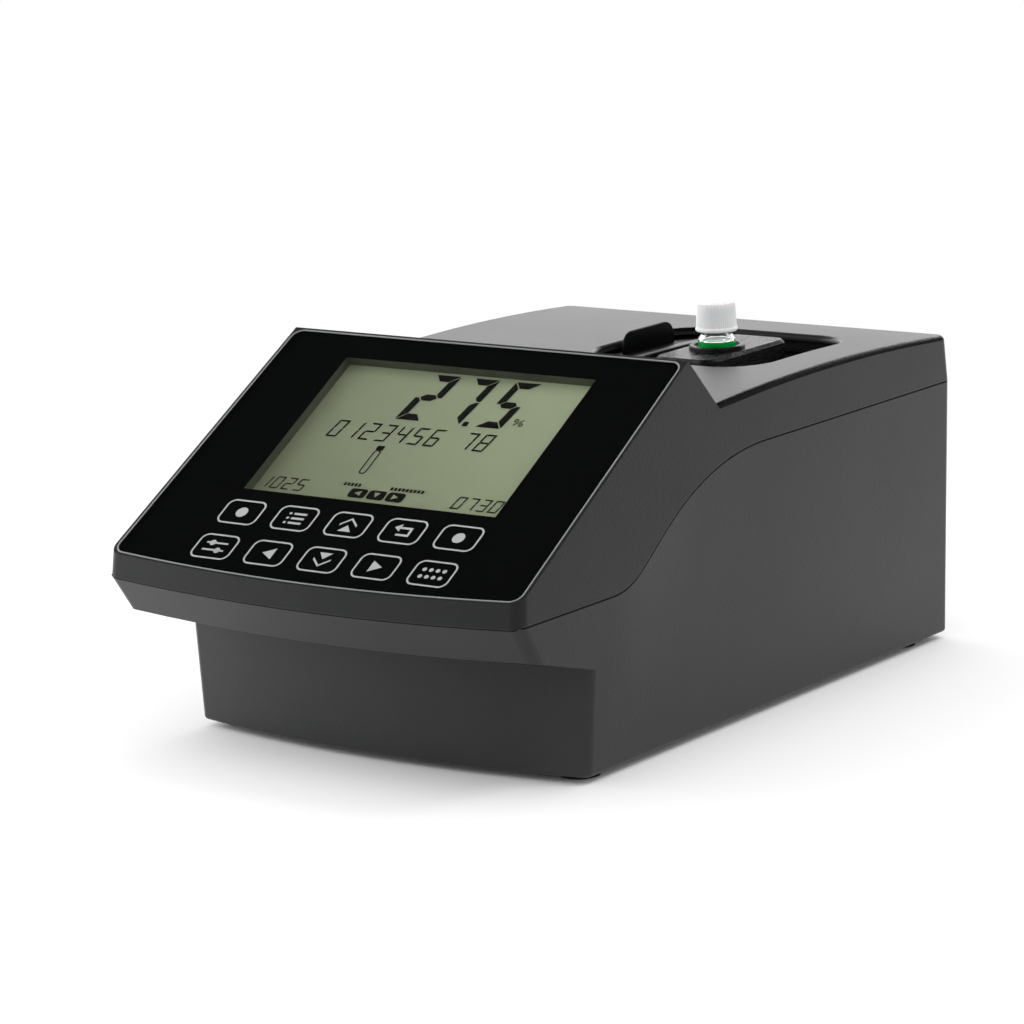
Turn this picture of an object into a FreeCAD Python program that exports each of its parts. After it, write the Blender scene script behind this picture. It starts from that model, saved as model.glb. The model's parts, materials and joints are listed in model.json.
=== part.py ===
import FreeCAD, Part
import math
import os

V = FreeCAD.Vector

# Overall size, in millimetres
LENGTH = 322.0
WIDTH = 205.0
REAR_Y = LENGTH / 2
FRONT_Y = -LENGTH / 2
FOOT_GAP = 3.0
REACH = 2 * WIDTH

# Console: the sloping front panel and the nose under it
PANEL_TILT = 31.02
CONSOLE_RUN = 125.6
PANEL_BACK_Z = 154.35
PANEL_LENGTH = 145.1
NOSE_RADIUS = 1100.0
LIP_HEIGHT = 9.76
LIP_LEAN = 1.22
OVERHANG_DROP = 14.9
OVERHANG_RUN = 9.8
UNDERSIDE_RUN = 51.2
UNDERSIDE_DROP = 14.5
BACK_SLOPE = 48.7
CONSOLE_CORNER = 5.0

# Roof: a shallow arch behind the console
ROOF_Z = 137.0
ROOF_PEAK_BACK = 92.0
ROOF_RADIUS = 1200.0
ROOF_EDGE = 2.6
REAR_LEAN = 0.95

# Seam between the upper cover and the lower shell
SEAM_FRONT_Z = 73.0
SEAM_REAR_Z = 114.0
SEAM_SLOPE = 34.2
SEAM_SETBACK = 24.6
SEAM_MIDDLE_Z = 90.0
SEAM_LOW_RADIUS = 36.0
SEAM_HIGH_RADIUS = 129.0
SEAM_GAP = 0.5
SEAM_DEPTH = 0.9

# Base and the lean of the side walls
BASE_FRONT = 40.0
BASE_RADIUS = 450.0
BASE_TOP_Z = 55.0
BASE_CORNER = 4.0
SIDE_LEAN = 0.045
BOTTOM_HALF_WIDTH = 97.3
WALL = 3.0
LOW_EDGE = 1.5
SIDE_STATIONS = 10

# Panel stack, measured down from the face of the glass
PANEL_RIM = 1.3
PANEL_CLEAR = 0.1
GLASS_THICK = 2.0
PRINT_THICK = 0.3
CONSOLE_FLOOR = 2.7
WINDOW_HALF = 63.0
WINDOW_LOW = 49.4
WINDOW_HIGH = 130.9
SENSOR_HALF = 66.0
SENSOR_LOW = 6.0
SENSOR_THICK = 0.4
DISPLAY_DEPTH = 6.2
DISPLAY_THICK = 2.8
DISPLAY_MARGIN = 5.0
FRAME_WALL = 2.0
BOARD_THICK = 1.6
DISPLAY_BOARD_DEPTH = 12.0
DISPLAY_BOARD_HALF = 80.0
DISPLAY_BOARD_LOW = 14.0

# Recess in the roof and the tray under it
SAMPLE_X = 33.0
SAMPLE_BACK = 78.0
RECESS_X = 86.0
RECESS_Y = 84.0
RECESS_CORNER = 20.0
RECESS_RIM = 2.0
TRAY_MARGIN = 1.5
TRAY_WALL = 2.0
TRAY_TOP_Z = 128.0
TRAY_FLOOR_Z = 112.0
TRAY_FLOOR = 2.0

# Sliding lid and its rails
LID_DROP = 4.2
LID_THICK = 2.2
LID_SHOW = 17.5
LID_LENGTH = 92.0
LID_CLEAR = 0.4
LID_LEDGE = 2.2
LID_RUN = 0.2
ROOF_CLEAR = 0.05
FIN_SETBACK = 11.5
FIN_THICK = 3.0
FIN_FRONT = 17.0
FIN_REAR = 21.0
FIN_RISE = 9.2
FIN_SLANT = 9.0
FIN_CORNER = 3.0

# Cell adapter and the well that holds it
ADAPTER_X = 30.0
ADAPTER_Y = 62.0
ADAPTER_SHIFT_Y = 2.5
ADAPTER_TOP_Z = 135.5
ADAPTER_CORNER = 6.0
ADAPTER_EDGE = 1.4
COLLAR_OUTER = 23.8
COLLAR_INNER = 19.5
COLLAR_TOP_Z = 137.3
COLLAR_EDGE = 0.5
WELL_CLEAR = 0.4
WELL_WALL = 4.0
WELL_FLOOR_Z = 54.0
BEAM_Z = 84.0
BEAM_BORE = 9.0
INDEX_LENGTH = 5.0
INDEX_WIDTH = 1.6

# Sample vial and its cap
VIAL_OUTER = 16.0
VIAL_WALL = 1.2
VIAL_CLEAR = 0.35
VIAL_BOTTOM_Z = 58.4
VIAL_SHOULDER_Z = 139.6
VIAL_SHOULDER = 2.2
VIAL_NECK = 13.0
VIAL_TOP_Z = 152.6
LIQUID_GAP = 0.05
CAP_BOTTOM_Z = 143.1
CAP_TOP_Z = 156.4
CAP_BASE = 17.9
CAP_BASE_HEIGHT = 1.8
CAP_LOW = 17.3
CAP_HIGH = 16.3
CAP_RIBS = 54
CAP_RIB_DEPTH = 0.3
CAP_ROUND = 1.0
LINER_THICK = 0.8

# Optical bench
BENCH_TOP_Z = 50.0
BENCH_THICK = 4.0
BENCH_HALF = 81.0
BENCH_CORNER = 5.0
BENCH_RUN = 153.0
BENCH_REAR_GAP = 19.0
POST_OUTER = 9.0
POST_BORE = 3.4
POST_INSET = 5.0
POST_RUNS = [-147.0, -38.0, 51.0]
POST_CLEAR = 1.5
LAMP_X = -60.0
LAMP_RUN = 125.0
LAMP_BULB = 11.0
LAMP_BASE = 8.0
LAMP_TIP = 3.0
LAMP_BASE_DROP = 16.0
LAMP_HALF = 5.0
LAMP_SOCKET = 18.0
LAMP_NECK = 1.0
LAMP_FLANGE = 26.0
LAMP_FLANGE_THICK = 3.0
LAMP_VENT = 14.0
SHIELD_HALF = 18.0
SHIELD_TOP_Z = 104.0
SHEET = 1.0
CONDENSER_RUN = 95.0
LENS_OUTER = 20.0
LENS_THICK = 5.0
LENS_RADIUS = 26.0
MOUNT_WIDTH = 28.0
MOUNT_THICK = 8.0
MOUNT_TOP_Z = 99.0
WHEEL_RUN = 78.0
WHEEL_OUTER = 50.0
WHEEL_THICK = 5.0
WHEEL_PITCH = 18.0
FILTER_OUTER = 10.0
FILTER_COUNT = 6
FILTER_THICK = 2.0
SHAFT = 4.0
SHAFT_CLEAR = 0.05
MOTOR_OUTER = 24.0
MOTOR_LENGTH = 18.0
BRACKET_THICK = 2.0
SLIT_RUN = 43.0
SLIT_WIDTH = 26.0
SLIT_PLATE = 2
SLIT_FOOT_RUN = 10
SLIT_FOOT_THICK = 3
SLIT_OPEN = 1.0
SLIT_HEIGHT = 8.0
GRATING_SIZE = 24.0
GRATING_THICK = 5.0
TURNTABLE = 32.0
TURNTABLE_THICK = 4.0
SPLITTER_RUN = 32.0
SPLITTER_SIZE = 18.0
SPLITTER_THICK = 1.5
FOCUS_RUN = 37.0
REFERENCE_RUN = 29.0
DETECTOR_CAN = 9.0
DETECTOR_CAN_LENGTH = 5.0
DETECTOR_BOARD = 22.0
DETECTOR_FOOT = 8.0
DETECTOR_GAP = 8.0

# Boards, sockets and power
MAIN_BOARD_Z = 20.0
MAIN_BOARD_DEPTH = 152.0
MAIN_BOARD_GAP = 9.0
BOARD_POST = 7.0
BOARD_POST_INSET = 5.0
BOARD_POST_RUNS = [10.0, 112.0]
CHIPS = [(-2.0, 58.0, 16.0, 16.0, 2.0), (25.0, 57.0, 10.0, 10.0, 1.6), (0.0, 114.0, 24.0, 8.0, 3.0)]
CAPACITORS = [(40.0, 100.0), (54.0, 100.0)]
CAPACITOR_OUTER = 10.0
CAPACITOR_HEIGHT = 12.0
HEADER_WIDTH = 24.0
HEADER_DEPTH = 6.0
HEADER_HEIGHT = 6.0
HEADER_INSET = 2.0
SOCKET_SET = 1.0
USB_A_INSET = 20.0
USB_PITCH = 28.0
INLET_PITCH = 26.0
SWITCH_X = 56.0
SWITCH_Z = 40.0
SWITCH_WIDTH = 21.0
SWITCH_HEIGHT = 15.0
ROCKER_WIDTH = 13.2
ROCKER_HEIGHT = 10.0
ROCKER_TILT = 8.0
ROCKER_PIN = 2.0
SWITCH_SET = 2.4
SWITCH_RIM = 1.6
SWITCH_AXIS_Y = REAR_Y - 5.0
BATTERY_RUN = 95.0
BATTERY_WIDTH = 92.0
BATTERY_DEPTH = 58.0
BATTERY_TOP_Z = 28.0
DOOR_MARGIN = 4.0
DOOR_CLEAR = 0.3
DOOR_BRIDGE = 4.0
DOOR_CORNER = 1.0
LAMP_DOOR = 30.0
FOOT_OUTER = 16.0
FOOT_SEAT = 1.0
FOOT_X = 84.0
FOOT_FRONT_RUN = 64.0
FOOT_REAR_RUN = 22.0
SCREW_SHANK = 3.0
SCREW_LENGTH = 10.0
CASE_SCREW_SHANK = 2.5
CASE_SCREW_BITE = 12.0
SCREW_HEAD = 5.6
SCREW_HEAD_HEIGHT = 2.4
TOWER_OUTER = 8.0
CASE_SCREW_GAP = 1.0
CASE_SCREW_FRONT_RUN = 83.0
CASE_SCREW_REAR_RUN = 10.0
CASE_JOIN_Z = 62.0
RIBBON_WIDTH = 20.0
RIBBON_THICK = 0.6
RIBBON_START = 30
RIBBON_RISE = 9
RIBBON_BEND = 6.0

# Places worked out from the sizes above
PANEL_BACK_Y = FRONT_Y + CONSOLE_RUN
SEAM_MIDDLE_Y = PANEL_BACK_Y - SEAM_SETBACK
ROOF_PEAK_Y = REAR_Y - ROOF_PEAK_BACK
SAMPLE_Y = REAR_Y - SAMPLE_BACK
BOTTOM_IN_Z = FOOT_GAP + WALL
RECESS_X0 = SAMPLE_X - RECESS_X / 2
RECESS_X1 = SAMPLE_X + RECESS_X / 2
RECESS_Y0 = SAMPLE_Y - RECESS_Y / 2
RECESS_Y1 = SAMPLE_Y + RECESS_Y / 2
TRAY_Y0 = RECESS_Y0 - TRAY_MARGIN
TRAY_Y1 = RECESS_Y1 + TRAY_MARGIN
LID_EDGE_X = RECESS_X0 + LID_SHOW
FIN_X = LID_EDGE_X - FIN_SETBACK
FIN_FRONT_Y = SAMPLE_Y - FIN_FRONT
FIN_REAR_Y = SAMPLE_Y + FIN_REAR
ADAPTER_MID_Y = SAMPLE_Y + ADAPTER_SHIFT_Y
BENCH_LOW_Z = BENCH_TOP_Z - BENCH_THICK
BENCH_FRONT_Y = SAMPLE_Y - BENCH_RUN
BENCH_REAR_Y = REAR_Y - BENCH_REAR_GAP
POST_X = BENCH_HALF - POST_INSET
POST_YS = [SAMPLE_Y + run for run in POST_RUNS]
LAMP_Y = SAMPLE_Y - LAMP_RUN
CONDENSER_Y = SAMPLE_Y - CONDENSER_RUN
WHEEL_X = LAMP_X + WHEEL_PITCH
WHEEL_Y = SAMPLE_Y - WHEEL_RUN
SLIT_Y = SAMPLE_Y - SLIT_RUN
GRATING_X = LAMP_X
SPLITTER_X = LAMP_X + SPLITTER_RUN
FOCUS_X = SAMPLE_X - FOCUS_RUN
REFERENCE_Y = SAMPLE_Y + REFERENCE_RUN
DETECTOR_X = SAMPLE_X + ADAPTER_X / 2 + WELL_CLEAR + WELL_WALL + DETECTOR_GAP
MAIN_BOARD_TOP_Z = MAIN_BOARD_Z + BOARD_THICK
MAIN_BOARD_HALF = POST_X - POST_OUTER / 2 - POST_CLEAR
MAIN_BOARD_REAR_Y = REAR_Y - MAIN_BOARD_GAP
MAIN_BOARD_FRONT_Y = MAIN_BOARD_REAR_Y - MAIN_BOARD_DEPTH
BOARD_POST_X = MAIN_BOARD_HALF - BOARD_POST_INSET
BOARD_POST_YS = [MAIN_BOARD_FRONT_Y + run for run in BOARD_POST_RUNS]
SOCKET_REAR_Y = REAR_Y - SOCKET_SET
USB_A_X = USB_A_INSET - MAIN_BOARD_HALF
USB_B_X = USB_A_X + USB_PITCH
SOCKET_DEPTH = 17.0
INLET_X = USB_B_X + INLET_PITCH
BATTERY_X = LAMP_X + LAMP_DOOR / 2 + DOOR_BRIDGE + DOOR_MARGIN + BATTERY_WIDTH / 2
BATTERY_Y = FRONT_Y + BATTERY_RUN
FOOT_FRONT_Y = FRONT_Y + FOOT_FRONT_RUN
FOOT_REAR_Y = REAR_Y - FOOT_REAR_RUN
CASE_SCREW_X = BENCH_HALF + CASE_SCREW_GAP + TOWER_OUTER / 2
CASE_SCREW_FRONT_Y = FRONT_Y + CASE_SCREW_FRONT_RUN
CASE_SCREW_REAR_Y = REAR_Y - CASE_SCREW_REAR_RUN


def face_yz(points):
    """Flat face in the YZ plane from (y, z) corners."""
    corners = [V(0, y, z) for y, z in points]
    corners.append(corners[0])
    return Part.Face(Part.makePolygon(corners))


def across(face, half_width=REACH / 2):
    """A YZ face spread to both sides along X."""
    moved = face.copy()
    moved.translate(V(-half_width, 0, 0))
    return moved.extrude(V(2 * half_width, 0, 0))


def box(x0, x1, y0, y1, z0, z1):
    """A block between two corners."""
    return Part.makeBox(x1 - x0, y1 - y0, z1 - z0, V(x0, y0, z0))


def panel_z(y):
    """Height of the panel plane above a place along Y."""
    return PANEL_BACK_Z + (y - PANEL_BACK_Y) * math.tan(math.radians(PANEL_TILT))


def roof_z(y):
    """Height of the roof arch at a place along Y."""
    centre = ROOF_Z - ROOF_RADIUS
    return centre + math.sqrt(ROOF_RADIUS ** 2 - (y - ROOF_PEAK_Y) ** 2)


def side_x(z):
    """Half width of the upper cover at a height."""
    return WIDTH / 2 - SIDE_LEAN * (z - SEAM_FRONT_Z)


def seam_corners():
    """Where the level stretches of the seam meet its slope."""
    slope = math.tan(math.radians(SEAM_SLOPE))
    low_y = SEAM_MIDDLE_Y + (SEAM_FRONT_Z - SEAM_MIDDLE_Z) / slope
    high_y = SEAM_MIDDLE_Y + (SEAM_REAR_Z - SEAM_MIDDLE_Z) / slope
    return low_y, high_y


def seam_z(y):
    """Height of the seam at a place along Y, bends rounded."""
    low_y, high_y = seam_corners()
    angle = math.radians(SEAM_SLOPE)
    low_reach = SEAM_LOW_RADIUS * math.tan(angle / 2)
    high_reach = SEAM_HIGH_RADIUS * math.tan(angle / 2)
    if y <= low_y - low_reach:
        return SEAM_FRONT_Z
    if y < low_y + low_reach * math.cos(angle):
        run = y - (low_y - low_reach)
        return SEAM_FRONT_Z + SEAM_LOW_RADIUS - math.sqrt(SEAM_LOW_RADIUS ** 2 - run ** 2)
    if y < high_y - high_reach * math.cos(angle):
        return SEAM_MIDDLE_Z + (y - SEAM_MIDDLE_Y) * math.tan(angle)
    if y < high_y + high_reach:
        run = high_y + high_reach - y
        return SEAM_REAR_Z - SEAM_HIGH_RADIUS + math.sqrt(SEAM_HIGH_RADIUS ** 2 - run ** 2)
    return SEAM_REAR_Z


def seam_edges(lift=0.0):
    """The seam as lines and arcs in the YZ plane, front to rear, raised by a lift."""
    low_y, high_y = seam_corners()
    angle = math.radians(SEAM_SLOPE)
    low_reach = SEAM_LOW_RADIUS * math.tan(angle / 2)
    high_reach = SEAM_HIGH_RADIUS * math.tan(angle / 2)
    nose_slope = math.tan(math.radians(PANEL_TILT))
    lip_y, lip_z = along_panel(0)
    nose_y = lip_y - LIP_LEAN + (SEAM_FRONT_Z + LIP_HEIGHT - lip_z) / nose_slope

    def at(y):
        return V(0, y, seam_z(y) + lift)

    start = V(0, -REACH / 2, SEAM_FRONT_Z + lift + (nose_y - -REACH / 2) * -nose_slope)
    bends = [low_y - low_reach, low_y, low_y + low_reach * math.cos(angle)]
    crests = [high_y - high_reach * math.cos(angle), high_y, high_y + high_reach]
    return [
        Part.makeLine(start, at(nose_y)),
        Part.makeLine(at(nose_y), at(bends[0])),
        Part.Arc(at(bends[0]), at(bends[1]), at(bends[2])).toShape(),
        Part.makeLine(at(bends[2]), at(crests[0])),
        Part.Arc(at(crests[0]), at(crests[1]), at(crests[2])).toShape(),
        Part.makeLine(at(crests[2]), at(REACH / 2)),
    ]


def seam_side(above, lift=0.0):
    """All the space above or below the seam."""
    edges = seam_edges(lift)
    start = edges[0].Vertexes[0].Point
    end = edges[-1].Vertexes[-1].Point
    far_z = REACH if above else -REACH
    close = Part.makePolygon([end, V(0, end.y, far_z), V(0, start.y, far_z), start])
    return across(Part.Face(Part.Wire(edges + close.Edges)))


def along_panel(s, depth=0.0):
    """Point (y, z) a distance s up the panel from its front edge at the middle."""
    tilt = math.radians(PANEL_TILT)
    back_off = PANEL_LENGTH - s
    y = PANEL_BACK_Y - back_off * math.cos(tilt) + depth * math.sin(tilt)
    z = PANEL_BACK_Z - back_off * math.sin(tilt) - depth * math.cos(tilt)
    return y, z


def side_profile(inset):
    """Side view of the case, open at the nose, drawn in by an inset."""
    slope = math.radians(BACK_SLOPE)
    notch_y = PANEL_BACK_Y + 16.5
    for _ in range(20):
        notch_y = PANEL_BACK_Y + (PANEL_BACK_Z - roof_z(notch_y)) / math.tan(slope)
    front_y = -REACH / 2
    front = V(0, front_y, panel_z(front_y))
    top = V(0, PANEL_BACK_Y, PANEL_BACK_Z)
    notch = V(0, notch_y, roof_z(notch_y))
    rear_top = V(0, REAR_Y - REAR_LEAN, roof_z(REAR_Y - REAR_LEAN))
    seam_rear = V(0, REAR_Y, SEAM_REAR_Z)
    rear_foot = V(0, REAR_Y - REAR_LEAN / 2, FOOT_GAP)
    arch = Part.Arc(notch, V(0, ROOF_PEAK_Y, ROOF_Z), rear_top).toShape()
    rest = [rear_top, seam_rear, rear_foot, V(0, front_y, FOOT_GAP), front]
    edges = [Part.makeLine(front, top), Part.makeLine(top, notch), arch]
    edges = edges + Part.makePolygon(rest).Edges
    face = Part.Face(Part.Wire(edges))
    if inset > 0:
        face = face.makeOffset2D(-inset, 2)
    return face


def nose_region(inset):
    """Space behind the lip, overhang and underside, swept about an axis square to the panel."""
    tilt = math.radians(PANEL_TILT)
    lip_y, lip_z = along_panel(0)
    low_y = lip_y - LIP_LEAN
    low_z = lip_z - LIP_HEIGHT
    hang_y = low_y + OVERHANG_RUN
    hang_z = low_z - OVERHANG_DROP
    under_y = hang_y + UNDERSIDE_RUN
    under_z = hang_z - UNDERSIDE_DROP
    rise = 4.0
    outline = [
        (lip_y + rise * LIP_LEAN, lip_z + rise * LIP_HEIGHT),
        (low_y, low_z),
        (hang_y, hang_z),
        (under_y, under_z),
        (under_y, -REACH / 4),
        (REACH, -REACH / 4),
        (REACH, REACH),
        (lip_y + rise * LIP_LEAN, REACH),
    ]
    face = face_yz(outline)
    if inset > 0:
        face = face.makeOffset2D(-inset, 2)
    centre = V(0, lip_y + NOSE_RADIUS * math.cos(tilt), lip_z + NOSE_RADIUS * math.sin(tilt))
    axis = V(0, -math.sin(tilt), math.cos(tilt))
    swing = 14.0
    face.rotate(centre, axis, -swing)
    return face.revolve(centre, axis, 2 * swing)


def base_region(inset):
    """Space of the base, with its bowed front."""
    front = FRONT_Y + BASE_FRONT
    ring = Part.makeCylinder(BASE_RADIUS - inset, BASE_TOP_Z, V(0, front + BASE_RADIUS, 0))
    return ring.common(box(-REACH / 2, REACH / 2, front - 5, REAR_Y + 5, 0, BASE_TOP_Z))


def upper_sides(inset):
    """Leaning side planes of the upper cover."""
    low = -REACH / 4
    high = REACH / 2
    points = [(side_x(low) - inset, low), (side_x(high) - inset, high)]
    corners = [V(x, 0, z) for x, z in points] + [V(-x, 0, z) for x, z in reversed(points)]
    corners.append(corners[0])
    face = Part.Face(Part.makePolygon(corners))
    face.translate(V(0, -REACH / 2, 0))
    return face.extrude(V(0, REACH, 0))


def lower_side_x(y, z):
    """Half width of the lower shell, leaning out from the floor to the seam."""
    top_z = seam_z(y)
    spread = (side_x(top_z) - BOTTOM_HALF_WIDTH) / (top_z - FOOT_GAP)
    return BOTTOM_HALF_WIDTH + spread * (z - FOOT_GAP)


def lower_side_cut(inset):
    """What lies outside the right wall of the lower shell: flat, a ruled rise, and flat again."""
    low_y, high_y = seam_corners()
    half_angle = math.radians(SEAM_SLOPE / 2)
    rise_y = low_y - SEAM_LOW_RADIUS * math.tan(half_angle)
    crest_y = high_y + SEAM_HIGH_RADIUS * math.tan(half_angle)

    def rail(z):
        points = []
        for i in range(SIDE_STATIONS + 1):
            y = rise_y + (crest_y - rise_y) * i / SIDE_STATIONS
            points.append(V(lower_side_x(y, z) - inset, y, z))
        curve = Part.BSplineCurve()
        curve.interpolate(Points=points, InitialTangent=V(0, 1, 0), FinalTangent=V(0, 1, 0))
        return curve.toShape()

    def flat(y0, y1):
        low_x = lower_side_x(y0, FOOT_GAP - WALL) - inset
        high_x = lower_side_x(y0, ROOF_Z) - inset
        corners = [V(low_x, y0, FOOT_GAP - WALL), V(low_x, y1, FOOT_GAP - WALL), V(high_x, y1, ROOF_Z),
                   V(high_x, y0, ROOF_Z)]
        return Part.Face(Part.makePolygon(corners + corners[:1]))

    walls = [
        flat(-REACH / 2, rise_y),
        Part.makeRuledSurface(rail(FOOT_GAP - WALL), rail(ROOF_Z)),
        flat(crest_y, REACH / 2),
    ]
    return [wall.extrude(V(REACH / 2, 0, 0)) for wall in walls]


def mirrored(shape):
    """The same shape on the other side."""
    return shape.mirror(V(0, 0, 0), V(1, 0, 0))


def case_halves(inset=0.0):
    """Upper and lower halves of the case as solid forms, drawn in by an inset."""
    profile = across(side_profile(inset))
    form = profile.common(nose_region(inset).fuse(base_region(inset)))
    upper = form.common(seam_side(True)).common(upper_sides(inset))
    lower = form.common(seam_side(False))
    for wall in lower_side_cut(inset):
        lower = lower.cut(wall).cut(mirrored(wall))
    return upper, lower


def cylinder(x, y, z0, z1, outer):
    """An upright round bar, by its diameter."""
    return Part.makeCylinder(outer / 2, z1 - z0, V(x, y, z0))


def bar(start, end, outer):
    """A round bar between two points, by its diameter."""
    along = end - start
    return Part.makeCylinder(outer / 2, along.Length, start, along)


def turned(points, x=0.0, y=0.0):
    """A solid of revolution about an upright axis from (radius, z) corners."""
    corners = [V(r, 0, z) for r, z in points]
    corners.append(corners[0])
    solid = Part.Face(Part.makePolygon(corners)).revolve(V(0, 0, 0), V(0, 0, 1), 360)
    solid.translate(V(x, y, 0))
    return solid


def edges_where(shape, test):
    """Edges of a shape whose middle passes a test."""
    chosen = []
    for edge in shape.Edges:
        middle = edge.valueAt((edge.FirstParameter + edge.LastParameter) / 2)
        if test(middle, edge):
            chosen.append(edge)
    return chosen


def upright(edge):
    """Whether an edge runs along Z."""
    ends = [vertex.Point for vertex in edge.Vertexes]
    if len(ends) != 2:
        return False
    run = ends[0] - ends[1]
    return run.Length > 0.1 and abs(run.normalize().z) > 0.99


def rounded_box(x0, x1, y0, y1, z0, z1, radius):
    """A block with its upright edges rounded."""
    block = box(x0, x1, y0, y1, z0, z1)
    return block.makeFillet(radius, edges_where(block, lambda middle, edge: upright(edge)))


def on_panel(shape):
    """Set a piece drawn flat, with its top face at zero height, into the panel plane."""
    y, z = along_panel(0)
    placed = shape.copy()
    placed.Placement = FreeCAD.Placement(V(0, y, z), FreeCAD.Rotation(V(1, 0, 0), PANEL_TILT))
    return placed


def panel_outline(inset, low, high, corner):
    """The console's top outline drawn in by an inset, between two depths, lying flat."""
    tilt = math.radians(PANEL_TILT)
    front_z = along_panel(0)[1]

    def edge_x(s):
        return side_x(front_z + s * math.sin(tilt)) - inset

    back = PANEL_LENGTH - inset
    points = [V(edge_x(0), -10, -high), V(edge_x(back), back, -high)]
    points = points + [V(-point.x, point.y, point.z) for point in reversed(points)]
    plate = Part.Face(Part.makePolygon(points + points[:1])).extrude(V(0, 0, high - low))
    disc = Part.makeCylinder(NOSE_RADIUS - inset, high - low, V(0, NOSE_RADIUS, -high))
    plate = plate.common(disc)
    return plate.makeFillet(corner, edges_where(plate, lambda middle, edge: upright(edge)))


def flat_block(half, low_s, high_s, low, high):
    """A block across the panel, lying flat, between two depths."""
    return box(-half, half, low_s, high_s, -high, -low)


def near(middle, x, y, z, reach):
    """Whether an edge's middle lies near a place, on either side."""
    return (V(abs(middle.x), middle.y, middle.z) - V(x, y, z)).Length < reach


def rounded(shape, radius, places, reach=2.5):
    """A shape with the edges nearest to the named places rounded."""
    edges = edges_where(shape, lambda middle, edge: any(near(middle, *place, reach) for place in places))
    return shape.makeFillet(radius, edges)


def soft_edges(shape, radius, test):
    """A shape with the edges that pass a test rounded."""
    return shape.makeFillet(radius, edges_where(shape, lambda middle, edge: test(middle)))


def case_forms():
    """Outer forms of both case halves with their corners and edges rounded."""
    upper, lower = case_halves()
    lip_y, lip_z = along_panel(0)
    low_z = lip_z - LIP_HEIGHT
    hang_y = lip_y - LIP_LEAN + OVERHANG_RUN
    hang_z = low_z - OVERHANG_DROP
    bow = WIDTH ** 2 / 8 / NOSE_RADIUS
    base_y = FRONT_Y + BASE_FRONT + WIDTH ** 2 / 8 / BASE_RADIUS
    lip_corner = (side_x(lip_z), lip_y + bow, lip_z - LIP_HEIGHT / 2 + bow / 2)
    hang_corner = (WIDTH / 2, (lip_y + hang_y) / 2 + bow, (low_z + hang_z) / 2 + bow / 2)
    rear_corner = (side_x(SEAM_REAR_Z), REAR_Y, (SEAM_REAR_Z + ROOF_Z) / 2)
    base_corner = (BOTTOM_HALF_WIDTH, base_y, (hang_z + FOOT_GAP) / 2)
    low_rear_corner = (BOTTOM_HALF_WIDTH, REAR_Y, (SEAM_REAR_Z + FOOT_GAP) / 2)
    upper = rounded(upper, CONSOLE_CORNER, [lip_corner], 4)
    upper = rounded(upper, BASE_CORNER, [rear_corner], 4)
    roof_low = roof_z(REAR_Y) - 1
    upper = soft_edges(upper, ROOF_EDGE, lambda middle: middle.z > roof_low and middle.y > 0)
    lower = rounded(lower, CONSOLE_CORNER, [hang_corner], 5)
    lower = rounded(lower, BASE_CORNER, [base_corner, low_rear_corner], 8)
    lower = soft_edges(lower, LOW_EDGE, lambda middle: middle.z < FOOT_GAP + 0.1)
    return upper, lower


def console_floor():
    """Plate of the cover that backs the panel."""
    low = GLASS_THICK + PRINT_THICK
    return on_panel(panel_outline(WALL - PANEL_CLEAR, low, low + CONSOLE_FLOOR, CONSOLE_CORNER))


def panel_pocket():
    """Seat of the glass and its print in the console."""
    return on_panel(panel_outline(PANEL_RIM, -WALL, GLASS_THICK + PRINT_THICK, CONSOLE_CORNER))


def display_hole(margin, low, high):
    """Opening for the display, grown by a margin, between two depths."""
    half = WINDOW_HALF + margin
    return on_panel(flat_block(half, WINDOW_LOW - margin, WINDOW_HIGH + margin, low, high))


def recess_hole():
    """Rounded-square opening in the roof."""
    return rounded_box(RECESS_X0, RECESS_X1, RECESS_Y0, RECESS_Y1, TRAY_TOP_Z, ROOF_Z + WALL, RECESS_CORNER)


def case_screw_places():
    """Centres of the four long case screws."""
    return [(x, y) for y in (CASE_SCREW_FRONT_Y, CASE_SCREW_REAR_Y) for x in (-CASE_SCREW_X, CASE_SCREW_X)]


def bench_post_places():
    """Centres of the bosses that carry the optical bench."""
    return [(x, y) for y in POST_YS for x in (-POST_X, POST_X)]


def board_post_places():
    """Centres of the bosses that carry the main board."""
    return [(x, y) for y in BOARD_POST_YS for x in (-BOARD_POST_X, BOARD_POST_X)]


def upper_cover(form, inner):
    """Moulded cover: console, arched roof with the recess, and screw towers."""
    towers = [cylinder(x, y, CASE_JOIN_Z, ROOF_Z + WALL, TOWER_OUTER) for x, y in case_screw_places()]
    towers = towers[0].multiFuse(towers[1:]).common(inner)
    cover = form.cut(inner)
    cover = cover.fuse(console_floor().common(form))
    cover = cover.fuse(towers)
    cover = cover.cut(panel_pocket())
    cover = cover.cut(display_hole(FRAME_WALL + PANEL_CLEAR, 0, DISPLAY_BOARD_DEPTH))
    for x, y in case_screw_places():
        cover = cover.cut(cylinder(x, y, CASE_JOIN_Z - 1, CASE_JOIN_Z + CASE_SCREW_BITE + 2,
                                   CASE_SCREW_SHANK + 0.1))
    cover = cover.cut(recess_hole())
    rim_low = roof_z(RECESS_Y1) - 1
    inside = rounded_box(RECESS_X0 - 1, RECESS_X1 + 1, RECESS_Y0 - 1, RECESS_Y1 + 1, rim_low, ROOF_Z + 1,
                         RECESS_CORNER)

    def on_rim(middle, edge):
        place = V(middle.x, middle.y, middle.z)
        high = abs(middle.z - roof_z(middle.y)) < 0.2
        return high and inside.isInside(place, 0.01, True)

    return cover.makeFillet(RECESS_RIM, edges_where(cover, on_rim))


def boss(x, y, top_z, outer, bore):
    """A hollow moulded boss on the shell's floor."""
    return cylinder(x, y, BOTTOM_IN_Z - 0.5, top_z, outer), cylinder(x, y, FOOT_GAP - 1, top_z + 1, bore)


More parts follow.
